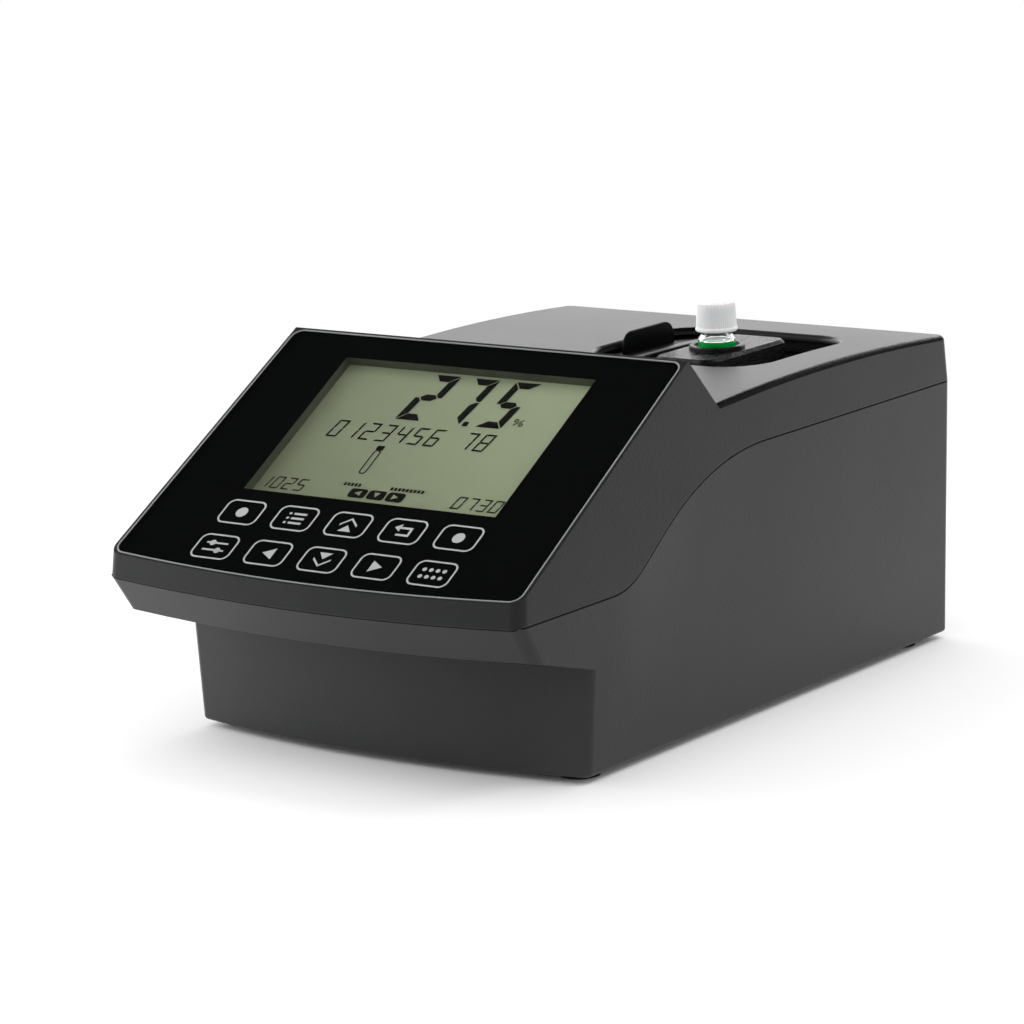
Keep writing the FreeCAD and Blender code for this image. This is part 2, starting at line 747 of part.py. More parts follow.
def rear_cut_outs():
    """Openings in the rear wall for the sockets and the switch."""
    y0 = REAR_Y - WALL - 3
    y1 = REAR_Y + 1
    z = MAIN_BOARD_TOP_Z
    switch = box(
        SWITCH_X - SWITCH_WIDTH / 2 + 1, SWITCH_X + SWITCH_WIDTH / 2 - 1, y0, y1,
        SWITCH_Z - SWITCH_HEIGHT / 2 + 1, SWITCH_Z + SWITCH_HEIGHT / 2 - 1)
    return [
        box(USB_A_X - 7.4, USB_A_X + 7.4, y0, y1, z - 0.3, z + 7.6),
        box(USB_B_X - 6.6, USB_B_X + 6.6, y0, y1, z - 0.3, z + 11.6),
        box(INLET_X - 5.3, INLET_X + 5.3, y0, y1, z - 0.3, z + 11.6),
        switch,
        box(SWITCH_X - SWITCH_WIDTH / 2 - 0.3, SWITCH_X + SWITCH_WIDTH / 2 + 0.3, REAR_Y - SWITCH_SET,
            REAR_Y + 1,
            SWITCH_Z - SWITCH_HEIGHT / 2 - 0.3, SWITCH_Z + SWITCH_HEIGHT / 2 + 0.3),
    ]


def battery_hole(clear):
    """Opening of the battery compartment, drawn in by a clearance."""
    half_x = BATTERY_WIDTH / 2 + DOOR_MARGIN - clear
    half_y = BATTERY_DEPTH / 2 + DOOR_MARGIN - clear
    return half_x, half_y


def seam_groove(form):
    """Narrow shadow gap all round, just under the seam."""
    core = case_halves(SEAM_DEPTH)[1]
    return form.common(seam_side(True, -SEAM_GAP)).cut(core)


def lower_shell(form, inner):
    """Moulded base with its nose, seam groove, bosses, door openings and rear cut-outs."""
    shell = form.cut(inner).cut(seam_groove(form))
    for x, y in case_screw_places():
        solid, bore = boss(x, y, CASE_JOIN_Z, TOWER_OUTER, SCREW_SHANK + 0.6)
        shell = shell.fuse(solid).cut(bore)
        shell = shell.cut(cylinder(x, y, FOOT_GAP - 1, BOTTOM_IN_Z, SCREW_HEAD + 0.6))
    for x, y in bench_post_places():
        solid, bore = boss(x, y, BENCH_LOW_Z, POST_OUTER, POST_BORE)
        shell = shell.fuse(solid).cut(bore.common(box(-REACH, REACH, -REACH, REACH, BOTTOM_IN_Z, REACH)))
    for x, y in board_post_places():
        solid, bore = boss(x, y, MAIN_BOARD_Z, BOARD_POST, POST_BORE)
        shell = shell.fuse(solid).cut(bore.common(box(-REACH, REACH, -REACH, REACH, BOTTOM_IN_Z, REACH)))
    for hole in rear_cut_outs():
        shell = shell.cut(hole)
    half_x, half_y = battery_hole(0)
    low = FOOT_GAP - 1
    shell = shell.cut(box(BATTERY_X - half_x, BATTERY_X + half_x, BATTERY_Y - half_y, BATTERY_Y + half_y, low,
                          BOTTOM_IN_Z + 1))
    half = LAMP_DOOR / 2
    shell = shell.cut(box(LAMP_X - half, LAMP_X + half, LAMP_Y - half, LAMP_Y + half, low, BOTTOM_IN_Z + 1))
    for x, y in foot_places():
        shell = shell.cut(cylinder(x, y, low, FOOT_GAP + FOOT_SEAT, FOOT_OUTER + 0.2))
    return shell


def foot_places():
    """Centres of the four feet."""
    return [(x, y) for y in (FOOT_FRONT_Y, FOOT_REAR_Y) for x in (-FOOT_X, FOOT_X)]


def panel_print():
    """Black print on the back of the glass, with the clear window."""
    sheet = panel_outline(PANEL_RIM + PANEL_CLEAR, GLASS_THICK, GLASS_THICK + PRINT_THICK, CONSOLE_CORNER)
    window = flat_block(WINDOW_HALF, WINDOW_LOW, WINDOW_HIGH, 0, DISPLAY_DEPTH)
    return on_panel(sheet.cut(window))


def display_frame():
    """Frame that lines the window and holds the display and its board."""
    top = GLASS_THICK + PRINT_THICK
    lip_half = WINDOW_HALF + FRAME_WALL
    lip = flat_block(lip_half, WINDOW_LOW - FRAME_WALL, WINDOW_HIGH + FRAME_WALL, top, DISPLAY_DEPTH)
    body_half = WINDOW_HALF + DISPLAY_MARGIN + FRAME_WALL
    body_low = WINDOW_LOW - DISPLAY_MARGIN - FRAME_WALL
    body_high = WINDOW_HIGH + DISPLAY_MARGIN + FRAME_WALL
    floor = top + CONSOLE_FLOOR
    body = flat_block(body_half, body_low, body_high, floor, DISPLAY_BOARD_DEPTH)
    window = flat_block(WINDOW_HALF, WINDOW_LOW, WINDOW_HIGH, 0, DISPLAY_BOARD_DEPTH + 1)
    seat_half = WINDOW_HALF + DISPLAY_MARGIN
    seat_low = WINDOW_LOW - DISPLAY_MARGIN
    seat_high = WINDOW_HIGH + DISPLAY_MARGIN
    seat = flat_block(seat_half, seat_low, seat_high, DISPLAY_DEPTH, DISPLAY_BOARD_DEPTH + 1)
    return on_panel(lip.fuse(body).cut(window).cut(seat))


def display():
    """The liquid crystal display itself."""
    clear = DISPLAY_MARGIN - PANEL_CLEAR
    plate = flat_block(WINDOW_HALF + clear, WINDOW_LOW - clear, WINDOW_HIGH + clear,
                       DISPLAY_DEPTH, DISPLAY_DEPTH + DISPLAY_THICK)
    return on_panel(plate)


def backlight():
    """Light guide behind the display."""
    clear = DISPLAY_MARGIN - PANEL_CLEAR
    plate = flat_block(WINDOW_HALF + clear, WINDOW_LOW - clear, WINDOW_HIGH + clear,
                       DISPLAY_DEPTH + DISPLAY_THICK, DISPLAY_BOARD_DEPTH)
    return on_panel(plate)


def display_board():
    """Circuit board behind the display."""
    high = WINDOW_HIGH + DISPLAY_MARGIN + FRAME_WALL
    plate = flat_block(DISPLAY_BOARD_HALF, DISPLAY_BOARD_LOW, high, DISPLAY_BOARD_DEPTH,
                       DISPLAY_BOARD_DEPTH + BOARD_THICK)
    return on_panel(plate)


def key_sensor():
    """Touch sensor on the underside of the console floor, one pad to a key."""
    low = GLASS_THICK + PRINT_THICK + CONSOLE_FLOOR
    return on_panel(flat_block(SENSOR_HALF, SENSOR_LOW, WINDOW_LOW - DISPLAY_MARGIN - FRAME_WALL - 1,
                               low, low + SENSOR_THICK))


def roof_band(top_drop, low_drop, y0, y1, x0, x1):
    """A strip that follows the roof arch, between two depths under it."""
    middle = (y0 + y1) / 2

    def at(y, drop):
        return V(0, y, roof_z(y) - drop)

    edges = [
        Part.Arc(at(y0, top_drop), at(middle, top_drop), at(y1, top_drop)).toShape(),
        Part.makeLine(at(y1, top_drop), at(y1, low_drop)),
        Part.Arc(at(y1, low_drop), at(middle, low_drop), at(y0, low_drop)).toShape(),
        Part.makeLine(at(y0, low_drop), at(y0, top_drop)),
    ]
    face = Part.Face(Part.Wire(edges))
    face.translate(V(x0, 0, 0))
    return face.extrude(V(x1 - x0, 0, 0))


def under_roof(x0, x1, y0, y1, z0):
    """A block that reaches up to the inside of the roof."""
    deep = ROOF_Z - z0 + WALL
    return roof_band(WALL + ROOF_CLEAR, deep, y0, y1, x0, x1).common(box(x0, x1, y0, y1, z0, ROOF_Z))


def recess_tray():
    """Black tray under the recess, with a hole for the adapter."""
    x0 = RECESS_X0 - TRAY_MARGIN
    x1 = RECESS_X1 + TRAY_MARGIN
    wall = TRAY_WALL
    outer = rounded_box(x0 - wall, x1 + wall, TRAY_Y0 - wall, TRAY_Y1 + wall, TRAY_FLOOR_Z, TRAY_TOP_Z,
                        RECESS_CORNER)
    inner = rounded_box(x0, x1, TRAY_Y0, TRAY_Y1, TRAY_FLOOR_Z + TRAY_FLOOR, TRAY_TOP_Z + 1,
                        RECESS_CORNER - wall)
    half_x = ADAPTER_X / 2 + WELL_CLEAR
    half_y = ADAPTER_Y / 2 + WELL_CLEAR
    hole = rounded_box(SAMPLE_X - half_x, SAMPLE_X + half_x, ADAPTER_MID_Y - half_y, ADAPTER_MID_Y + half_y,
                       TRAY_FLOOR_Z - 1, TRAY_TOP_Z, ADAPTER_CORNER)
    return outer.cut(inner).cut(hole)


def lid_rails():
    """Two ledged rails and an end stop that hang from the roof and guide the lid."""
    wall = TRAY_WALL
    x0 = LID_EDGE_X - LID_LENGTH - TRAY_WALL
    x1 = RECESS_X1 + TRAY_MARGIN + wall
    ledge_drop = LID_DROP + LID_THICK + LID_RUN
    ledges = roof_band(ledge_drop, ROOF_Z - TRAY_TOP_Z + WALL, TRAY_Y0, TRAY_Y1, x0, x1)
    pieces = [
        under_roof(x0, x1, TRAY_Y0 - wall, TRAY_Y0, TRAY_TOP_Z),
        under_roof(x0, x1, TRAY_Y1, TRAY_Y1 + wall, TRAY_TOP_Z),
        under_roof(x1 - wall, x1, TRAY_Y0 - wall, TRAY_Y1 + wall, TRAY_TOP_Z),
        ledges.common(box(x0, x1, TRAY_Y0, TRAY_Y0 + LID_LEDGE, TRAY_TOP_Z, ROOF_Z)),
        ledges.common(box(x0, x1, TRAY_Y1 - LID_LEDGE, TRAY_Y1, TRAY_TOP_Z, ROOF_Z)),
    ]
    return pieces[0].multiFuse(pieces[1:]).removeSplitter()


def lid_fin():
    """Upright finger fin on the lid, slanted in front and rounded behind."""
    low = ROOF_Z - LID_DROP - LID_THICK / 2
    top = ROOF_Z - LID_DROP + FIN_RISE
    corners = [(FIN_FRONT_Y, low), (FIN_FRONT_Y + FIN_SLANT, top), (FIN_REAR_Y, top), (FIN_REAR_Y, low)]
    face = face_yz(corners)
    face.translate(V(FIN_X - FIN_THICK / 2, 0, 0))
    fin = face.extrude(V(FIN_THICK, 0, 0))
    across_top = edges_where(fin, lambda middle, edge: abs(middle.x - FIN_X) < 0.1 and middle.z > top - 0.1
                             and edge.Length < FIN_THICK + 0.1)
    return fin.makeFillet(FIN_CORNER, across_top)


def sample_lid():
    """Arched sliding lid with a rolled leading edge and its fin."""
    y0 = TRAY_Y0 + LID_CLEAR
    y1 = TRAY_Y1 - LID_CLEAR
    x0 = LID_EDGE_X - LID_LENGTH
    plate = roof_band(LID_DROP, LID_DROP + LID_THICK, y0, y1, x0, LID_EDGE_X)
    return plate.fuse(lid_fin())


def adapter_block():
    """Cell adapter: rounded block, collar, vial bore, beam bore and index mark."""
    x0 = SAMPLE_X - ADAPTER_X / 2
    x1 = SAMPLE_X + ADAPTER_X / 2
    y0 = ADAPTER_MID_Y - ADAPTER_Y / 2
    y1 = ADAPTER_MID_Y + ADAPTER_Y / 2
    block = rounded_box(x0, x1, y0, y1, WELL_FLOOR_Z, ADAPTER_TOP_Z, ADAPTER_CORNER)
    top_edges = edges_where(block, lambda middle, edge: middle.z > ADAPTER_TOP_Z - 0.1)
    block = block.makeChamfer(ADAPTER_EDGE, top_edges)
    collar = cylinder(SAMPLE_X, SAMPLE_Y, ADAPTER_TOP_Z - 1, COLLAR_TOP_Z, COLLAR_OUTER)
    rim_edges = edges_where(collar, lambda middle, edge: middle.z > COLLAR_TOP_Z - 0.1)
    collar = collar.makeChamfer(COLLAR_EDGE, rim_edges)
    block = block.fuse(collar)
    bore = VIAL_OUTER / 2 + VIAL_CLEAR
    mouth = COLLAR_INNER / 2
    drop = COLLAR_TOP_Z - 2 * (mouth - bore)
    well = [(0, VIAL_BOTTOM_Z), (bore, VIAL_BOTTOM_Z), (bore, drop), (mouth, COLLAR_TOP_Z),
            (mouth, COLLAR_TOP_Z + 1),
            (0, COLLAR_TOP_Z + 1)]
    block = block.cut(turned(well, SAMPLE_X, SAMPLE_Y))
    block = block.cut(bar(V(x0 - 1, SAMPLE_Y, BEAM_Z), V(x1 + 1, SAMPLE_Y, BEAM_Z), BEAM_BORE))
    mark_y = SAMPLE_Y - COLLAR_OUTER / 2 - 1
    mark = Part.Face(Part.makePolygon([
        V(SAMPLE_X, mark_y, 0), V(SAMPLE_X - INDEX_WIDTH, mark_y - INDEX_LENGTH, 0),
        V(SAMPLE_X + INDEX_WIDTH, mark_y - INDEX_LENGTH, 0), V(SAMPLE_X, mark_y, 0)]))
    mark.translate(V(0, 0, ADAPTER_TOP_Z - 0.5))
    return block.cut(mark.extrude(V(0, 0, 1)))


def cell_well():
    """Block on the bench that takes the adapter, with beam windows."""
    gap = WELL_CLEAR
    wall = WELL_CLEAR + WELL_WALL
    x0 = SAMPLE_X - ADAPTER_X / 2
    x1 = SAMPLE_X + ADAPTER_X / 2
    y0 = ADAPTER_MID_Y - ADAPTER_Y / 2
    y1 = ADAPTER_MID_Y + ADAPTER_Y / 2
    outer = rounded_box(x0 - wall, x1 + wall, y0 - wall, y1 + wall, BENCH_TOP_Z, TRAY_FLOOR_Z, ADAPTER_CORNER)
    inner = rounded_box(x0 - gap, x1 + gap, y0 - gap, y1 + gap, WELL_FLOOR_Z, TRAY_FLOOR_Z + 1,
                        ADAPTER_CORNER)
    well = outer.cut(inner)
    return well.cut(bar(V(x0 - 2 * wall, SAMPLE_Y, BEAM_Z), V(x1 + 2 * wall, SAMPLE_Y, BEAM_Z),
                        BEAM_BORE + 2))


def vial_glass():
    """Round glass vial with a shoulder and an open neck."""
    outer = VIAL_OUTER / 2
    neck = VIAL_NECK / 2
    wall = VIAL_WALL
    top = VIAL_TOP_Z
    shoulder = VIAL_SHOULDER_Z
    rise = VIAL_SHOULDER
    points = [
        (0, VIAL_BOTTOM_Z), (outer - 1, VIAL_BOTTOM_Z), (outer, VIAL_BOTTOM_Z + 1), (outer, shoulder),
        (neck, shoulder + rise), (neck, top), (neck - wall, top), (neck - wall, shoulder + rise - wall / 2),
        (outer - wall, shoulder - wall / 2), (outer - wall, VIAL_BOTTOM_Z + 1.5 * wall),
        (0, VIAL_BOTTOM_Z + wall),
    ]
    return turned(points, SAMPLE_X, SAMPLE_Y)


def sample_liquid():
    """Green sample in the vial."""
    radius = VIAL_OUTER / 2 - VIAL_WALL - LIQUID_GAP
    low = VIAL_BOTTOM_Z + VIAL_WALL + LIQUID_GAP
    level = VIAL_SHOULDER_Z - VIAL_WALL / 2 - LIQUID_GAP
    points = [(0, low), (radius, low + VIAL_WALL / 2 + LIQUID_GAP), (radius, level), (0, level)]
    return turned(points, SAMPLE_X, SAMPLE_Y)


def cap_liner():
    """Soft disc that seals the vial's mouth."""
    return cylinder(SAMPLE_X, SAMPLE_Y, VIAL_TOP_Z, VIAL_TOP_Z + LINER_THICK, VIAL_NECK)


def star(radius, depth, count, z):
    """Closed outline whose points and dips make small ribs round a circle."""
    corners = []
    for i in range(2 * count + 1):
        angle = math.pi * (i % (2 * count)) / count
        reach = radius - depth * (i % 2)
        corners.append(V(reach * math.cos(angle), reach * math.sin(angle), z))
    return Part.makePolygon(corners)


def vial_cap():
    """Ribbed white screw cap with a plain flared base and a rounded top."""
    base_top = CAP_BOTTOM_Z + CAP_BASE_HEIGHT
    rib_top = CAP_TOP_Z - CAP_ROUND
    low = CAP_LOW / 2
    high = CAP_HIGH / 2
    ribs = Part.makeLoft([star(low, CAP_RIB_DEPTH, CAP_RIBS, base_top - 0.5),
                          star(high, CAP_RIB_DEPTH, CAP_RIBS, rib_top)], True, True)
    ribs.translate(V(SAMPLE_X, SAMPLE_Y, 0))
    base = CAP_BASE / 2
    core = turned([
        (0, CAP_BOTTOM_Z), (base - 0.4, CAP_BOTTOM_Z), (base, CAP_BOTTOM_Z + 0.4), (base, base_top - 0.6),
        (low, base_top), (high - 2 * CAP_RIB_DEPTH, base_top), (high - 2 * CAP_RIB_DEPTH, rib_top),
        (high - CAP_ROUND, CAP_TOP_Z), (0, CAP_TOP_Z)], SAMPLE_X, SAMPLE_Y)
    bore = VIAL_NECK / 2 + VIAL_CLEAR
    inside = cylinder(SAMPLE_X, SAMPLE_Y, CAP_BOTTOM_Z - 1, VIAL_TOP_Z + LINER_THICK, 2 * bore)
    return core.fuse(ribs).cut(inside)


def optical_bench():
    """Bench plate with holes for its screws, the lamp and the grating shaft."""
    plate = rounded_box(-BENCH_HALF, BENCH_HALF, BENCH_FRONT_Y, BENCH_REAR_Y, BENCH_LOW_Z, BENCH_TOP_Z,
                        BENCH_CORNER)
    for x, y in bench_post_places():
        plate = plate.cut(cylinder(x, y, BENCH_LOW_Z - 1, BENCH_TOP_Z + 1, SCREW_SHANK + 0.4))
    plate = plate.cut(cylinder(LAMP_X, LAMP_Y, BENCH_LOW_Z - 1, BENCH_TOP_Z + 1, LAMP_VENT))
    return plate.cut(cylinder(GRATING_X, SAMPLE_Y, BENCH_LOW_Z - 1, BENCH_TOP_Z + 1, SHAFT + 2 * SHAFT_CLEAR))


def hex_head(x, y, z0, z1):
    """A six-sided screw head."""
    corners = []
    for i in range(7):
        angle = math.pi * i / 3
        corners.append(V(x + SCREW_HEAD / 2 * math.cos(angle), y + SCREW_HEAD / 2 * math.sin(angle), z0))
    return Part.Face(Part.makePolygon(corners)).extrude(V(0, 0, z1 - z0))


def bench_screw(x, y, head_z):
    """One hex-head screw, pointing down."""
    head = hex_head(x, y, head_z, head_z + SCREW_HEAD_HEIGHT)
    return head.fuse(cylinder(x, y, head_z - SCREW_LENGTH, head_z, SCREW_SHANK))


def case_screw(x, y):
    """One long case screw, pointing up from the floor into the cover's tower."""
    head = hex_head(x, y, BOTTOM_IN_Z - SCREW_HEAD_HEIGHT, BOTTOM_IN_Z)
    return head.fuse(cylinder(x, y, BOTTOM_IN_Z, CASE_JOIN_Z + CASE_SCREW_BITE, CASE_SCREW_SHANK))


def lamp():
    """Tungsten lamp: pinched glass bulb on a metal base."""
    bulb = LAMP_BULB / 2
    base = LAMP_BASE / 2
    tip = LAMP_TIP / 2
    low = BEAM_Z - LAMP_BASE_DROP
    neck = BEAM_Z - LAMP_HALF
    crown = BEAM_Z + LAMP_HALF
    top = crown + bulb
    return turned([(0, low), (base, low), (base, neck), (bulb, neck), (bulb, crown), (tip, top - tip),
                   (tip, top),
                   (0, top)], LAMP_X, LAMP_Y)


def lamp_socket():
    """Round ceramic lamp holder on its square flange."""
    low = BENCH_TOP_Z
    top = BEAM_Z - LAMP_HALF - LAMP_NECK
    half = LAMP_FLANGE / 2
    holder = cylinder(LAMP_X, LAMP_Y, low, top, LAMP_SOCKET)
    flange = box(LAMP_X - half, LAMP_X + half, LAMP_Y - half, LAMP_Y + half, low, low + LAMP_FLANGE_THICK)
    bore = cylinder(LAMP_X, LAMP_Y, BEAM_Z - LAMP_BASE_DROP, top + 1, LAMP_BASE + 2 * SHAFT_CLEAR)
    return holder.fuse(flange).cut(bore)


def lamp_shield():
    """Bent sheet round the lamp, open to the top and pierced for the beam."""
    half = SHIELD_HALF
    outer = box(LAMP_X - half, LAMP_X + half, LAMP_Y - half, LAMP_Y + half, BENCH_TOP_Z, SHIELD_TOP_Z)
    inner = box(LAMP_X - half + SHEET, LAMP_X + half - SHEET, LAMP_Y - half + SHEET, LAMP_Y + half - SHEET,
                BENCH_TOP_Z - 1, SHIELD_TOP_Z + 1)
    beam = bar(V(LAMP_X, LAMP_Y, BEAM_Z), V(LAMP_X, LAMP_Y + 2 * half, BEAM_Z), BEAM_BORE + 3)
    return outer.cut(inner).cut(beam)


def lens_form():
    """Round lens, flat in front and bulging behind, on its axis along Y at the origin."""
    half = LENS_THICK / 2
    disc = Part.makeCylinder(LENS_OUTER / 2, LENS_THICK, V(0, -half, 0), V(0, 1, 0))
    return disc.common(Part.makeSphere(LENS_RADIUS, V(0, half - LENS_RADIUS, 0)))


def mount_form():
    """Upright lens mount on its foot, with its bore along Y at the origin."""
    low = BENCH_TOP_Z - BEAM_Z
    half = MOUNT_WIDTH / 2
    plate = box(-half, half, -MOUNT_THICK / 2, MOUNT_THICK / 2, low, MOUNT_TOP_Z - BEAM_Z)
    bore = Part.makeCylinder(LENS_OUTER / 2 + 0.05, MOUNT_THICK + 2, V(0, -MOUNT_THICK / 2 - 1, 0),
                             V(0, 1, 0))
    return plate.cut(bore)


def placed(shape, x, y, z, turn=0.0):
    """A shape drawn at the origin, turned about Z and moved to its place."""
    moved = shape.copy()
    moved.Placement = FreeCAD.Placement(V(x, y, z), FreeCAD.Rotation(V(0, 0, 1), turn))
    return moved


def wheel_bar(outer, y0, y1, clear=0.0):
    """A bar on the filter wheel's axis."""
    return bar(V(WHEEL_X, y0, BEAM_Z), V(WHEEL_X, y1, BEAM_Z), outer + 2 * clear)


def filter_places():
    """Centres of the filters round the wheel."""
    places = []
    for i in range(FILTER_COUNT):
        angle = math.pi + 2 * math.pi * i / FILTER_COUNT
        places.append((WHEEL_X + WHEEL_PITCH * math.cos(angle), BEAM_Z + WHEEL_PITCH * math.sin(angle)))
    return places


def filter_wheel():
    """Filter wheel with its shaft and seats for the filters."""
    y0 = WHEEL_Y - WHEEL_THICK / 2
    y1 = WHEEL_Y + WHEEL_THICK / 2
    wheel = wheel_bar(WHEEL_OUTER, y0, y1)
    shaft_end = y1 + BRACKET_THICK + 1 + MOTOR_LENGTH - 2
    wheel = wheel.fuse(wheel_bar(SHAFT, y1 - 1, shaft_end)).fuse(wheel_bar(3 * SHAFT, y0 - 3, y0 + 1))
    for x, z in filter_places():
        wheel = wheel.cut(bar(V(x, y0 - 1, z), V(x, y1 + 1, z), FILTER_OUTER))
    return wheel


def order_filters():
    """The round glass filters in the wheel."""
    y0 = WHEEL_Y - WHEEL_THICK / 2
    y1 = y0 + FILTER_THICK
    return compound([bar(V(x, y0, z), V(x, y1, z), FILTER_OUTER - 0.1) for x, z in filter_places()])


def wheel_bracket():
    """Angle bracket that holds the wheel's motor."""
    y0 = WHEEL_Y + WHEEL_THICK / 2 + 1
    y1 = y0 + BRACKET_THICK
    half = MOTOR_OUTER / 2 - 1
    plate = box(WHEEL_X - half, WHEEL_X + half, y0, y1, BENCH_TOP_Z, BEAM_Z + half)
    foot = box(WHEEL_X - half, WHEEL_X + half, y0, y0 + MOTOR_LENGTH, BENCH_TOP_Z,
               BENCH_TOP_Z + BRACKET_THICK)
    return plate.fuse(foot).cut(wheel_bar(SHAFT + 2, y0 - 1, y1 + 1))


def wheel_motor():
    """Stepping motor of the filter wheel."""
    y0 = WHEEL_Y + WHEEL_THICK / 2 + 1 + BRACKET_THICK
    bore = wheel_bar(SHAFT, y0 - 1, y0 + MOTOR_LENGTH - 1, SHAFT_CLEAR)
    return wheel_bar(MOTOR_OUTER, y0, y0 + MOTOR_LENGTH).cut(bore)


def entrance_slit():
    """Plate with the narrow entrance slit."""
    half = SLIT_WIDTH / 2
    plate = box(LAMP_X - half, LAMP_X + half, SLIT_Y, SLIT_Y + SLIT_PLATE, BENCH_TOP_Z, MOUNT_TOP_Z)
    foot = box(LAMP_X - half, LAMP_X + half, SLIT_Y, SLIT_Y + SLIT_FOOT_RUN, BENCH_TOP_Z,
               BENCH_TOP_Z + SLIT_FOOT_THICK)
    slit = box(LAMP_X - SLIT_OPEN / 2, LAMP_X + SLIT_OPEN / 2, SLIT_Y - 1, SLIT_Y + SLIT_PLATE + 1,
               BEAM_Z - SLIT_HEIGHT / 2, BEAM_Z + SLIT_HEIGHT / 2)
    return plate.fuse(foot).cut(slit)


def turntable():
    """Turntable that carries the grating, with its shaft through the bench."""
    low = BENCH_TOP_Z + 0.5
    top = low + TURNTABLE_THICK
    disc = cylinder(GRATING_X, SAMPLE_Y, low, top, TURNTABLE)
    shaft = cylinder(GRATING_X, SAMPLE_Y, BENCH_LOW_Z - 14, low + 1, SHAFT)
    back = box(-GRATING_SIZE / 2, GRATING_SIZE / 2, GRATING_THICK / 2, GRATING_THICK / 2 + 3,
               top - 1, BEAM_Z + GRATING_SIZE / 2)
    foot = box(-GRATING_SIZE / 2, GRATING_SIZE / 2, -GRATING_THICK / 2, GRATING_THICK / 2, top - 1,
               BEAM_Z - GRATING_SIZE / 2)
    return disc.fuse(shaft).fuse(placed(back.fuse(foot), GRATING_X, SAMPLE_Y, 0, 45))


def grating():
    """Ruled diffraction grating."""
    half = GRATING_SIZE / 2
    block = box(-half, half, -GRATING_THICK / 2, GRATING_THICK / 2, BEAM_Z - half, BEAM_Z + half)
    return placed(block, GRATING_X, SAMPLE_Y, 0, 45)


def grating_motor():
    """Stepping motor of the grating, under the bench."""
    low = MAIN_BOARD_TOP_Z + 2
    motor = cylinder(GRATING_X, SAMPLE_Y, low, BENCH_LOW_Z, MOTOR_OUTER)
    return motor.cut(cylinder(GRATING_X, SAMPLE_Y, BENCH_LOW_Z - 15, BENCH_LOW_Z + 1,
                              SHAFT + 2 * SHAFT_CLEAR))


def beam_splitter():
    """Thin glass plate across the beam."""
    half = SPLITTER_SIZE / 2
    plate = box(-half, half, -SPLITTER_THICK / 2, SPLITTER_THICK / 2, BEAM_Z - half, BEAM_Z + half)
    return placed(plate, SPLITTER_X, SAMPLE_Y, 0, 45)


def splitter_post():
    """Slotted post that holds the beam splitter."""
    half = SPLITTER_SIZE / 2
    post = box(-half, half, -4, 4, BENCH_TOP_Z, BEAM_Z - half + 2)
    slot = box(-half - 1, half + 1, -SPLITTER_THICK / 2 - 0.05, SPLITTER_THICK / 2 + 0.05, BEAM_Z - half,
               BEAM_Z)
    return placed(post.cut(slot), SPLITTER_X, SAMPLE_Y, 0, 45)


def detector(x, y, turn):
    """Photodiode can on an upright board, looking along the turned Y axis."""
    half = DETECTOR_BOARD / 2
    board = box(-half, half, 0, BOARD_THICK, BENCH_TOP_Z, BEAM_Z + half)
    can = bar(V(0, -DETECTOR_CAN_LENGTH, BEAM_Z), V(0, 0.5, BEAM_Z), DETECTOR_CAN)
    foot = box(-half, half, BOARD_THICK, BOARD_THICK + DETECTOR_FOOT, BENCH_TOP_Z,
               BENCH_TOP_Z + DETECTOR_FOOT)
    return placed(board.fuse(can).fuse(foot), x, y, 0, turn)


def main_board():
    """Main circuit board, screwed to its bosses."""
    board = box(-MAIN_BOARD_HALF, MAIN_BOARD_HALF, MAIN_BOARD_FRONT_Y, MAIN_BOARD_REAR_Y, MAIN_BOARD_Z,
                MAIN_BOARD_TOP_Z)
    for x, y in board_post_places():
        board = board.cut(cylinder(x, y, MAIN_BOARD_Z - 1, MAIN_BOARD_TOP_Z + 1, SCREW_SHANK + 0.4))
    return board


def on_board(x, run, width, depth, height):
    """A block standing on the main board, by its middle and its run from the board's front edge."""
    y = MAIN_BOARD_FRONT_Y + run
    return box(x - width / 2, x + width / 2, y - depth / 2, y + depth / 2, MAIN_BOARD_TOP_Z,
               MAIN_BOARD_TOP_Z + height)


def board_chips():
    """Chips, a capacitor pair and the ribbon header on the main board."""
    chips = [on_board(*chip) for chip in CHIPS]
    for x, run in CAPACITORS:
        chips.append(cylinder(x, MAIN_BOARD_FRONT_Y + run, MAIN_BOARD_TOP_Z,
                              MAIN_BOARD_TOP_Z + CAPACITOR_HEIGHT,
                              CAPACITOR_OUTER))
    chips.append(on_board(0, HEADER_INSET + HEADER_DEPTH / 2, HEADER_WIDTH, HEADER_DEPTH, HEADER_HEIGHT))
    return compound(chips)


def socket_shell(x, width, height, depth, wall):
    """Metal socket shell on the board's rear edge, open to the rear."""
    z = MAIN_BOARD_TOP_Z
    y0 = SOCKET_REAR_Y - depth
    outer = box(x - width / 2, x + width / 2, y0, SOCKET_REAR_Y, z, z + height)
    inner = box(x - width / 2 + wall, x + width / 2 - wall, y0 + wall, SOCKET_REAR_Y + 1, z + wall,
                z + height - wall)
    return outer.cut(inner)


def usb_a_socket():
    """Flat computer-style socket for a memory stick."""
    z = MAIN_BOARD_TOP_Z
    shell = socket_shell(USB_A_X, 14.2, 7.0, SOCKET_DEPTH, 0.5)
    tongue = box(USB_A_X - 5.8, USB_A_X + 5.8, SOCKET_REAR_Y - SOCKET_DEPTH + 0.5, SOCKET_REAR_Y - 1,
                 z + 3.9, z + 5.8)
    return shell.fuse(tongue)


def usb_b_socket():
    """Squarish socket for the computer lead."""
    z = MAIN_BOARD_TOP_Z
    shell = socket_shell(USB_B_X, 12.0, 11.0, SOCKET_DEPTH, 1.0)
    tongue = box(USB_B_X - 2.8, USB_B_X + 2.8, SOCKET_REAR_Y - 16.2, SOCKET_REAR_Y - 1, z + 4, z + 7.2)
    return shell.fuse(tongue)


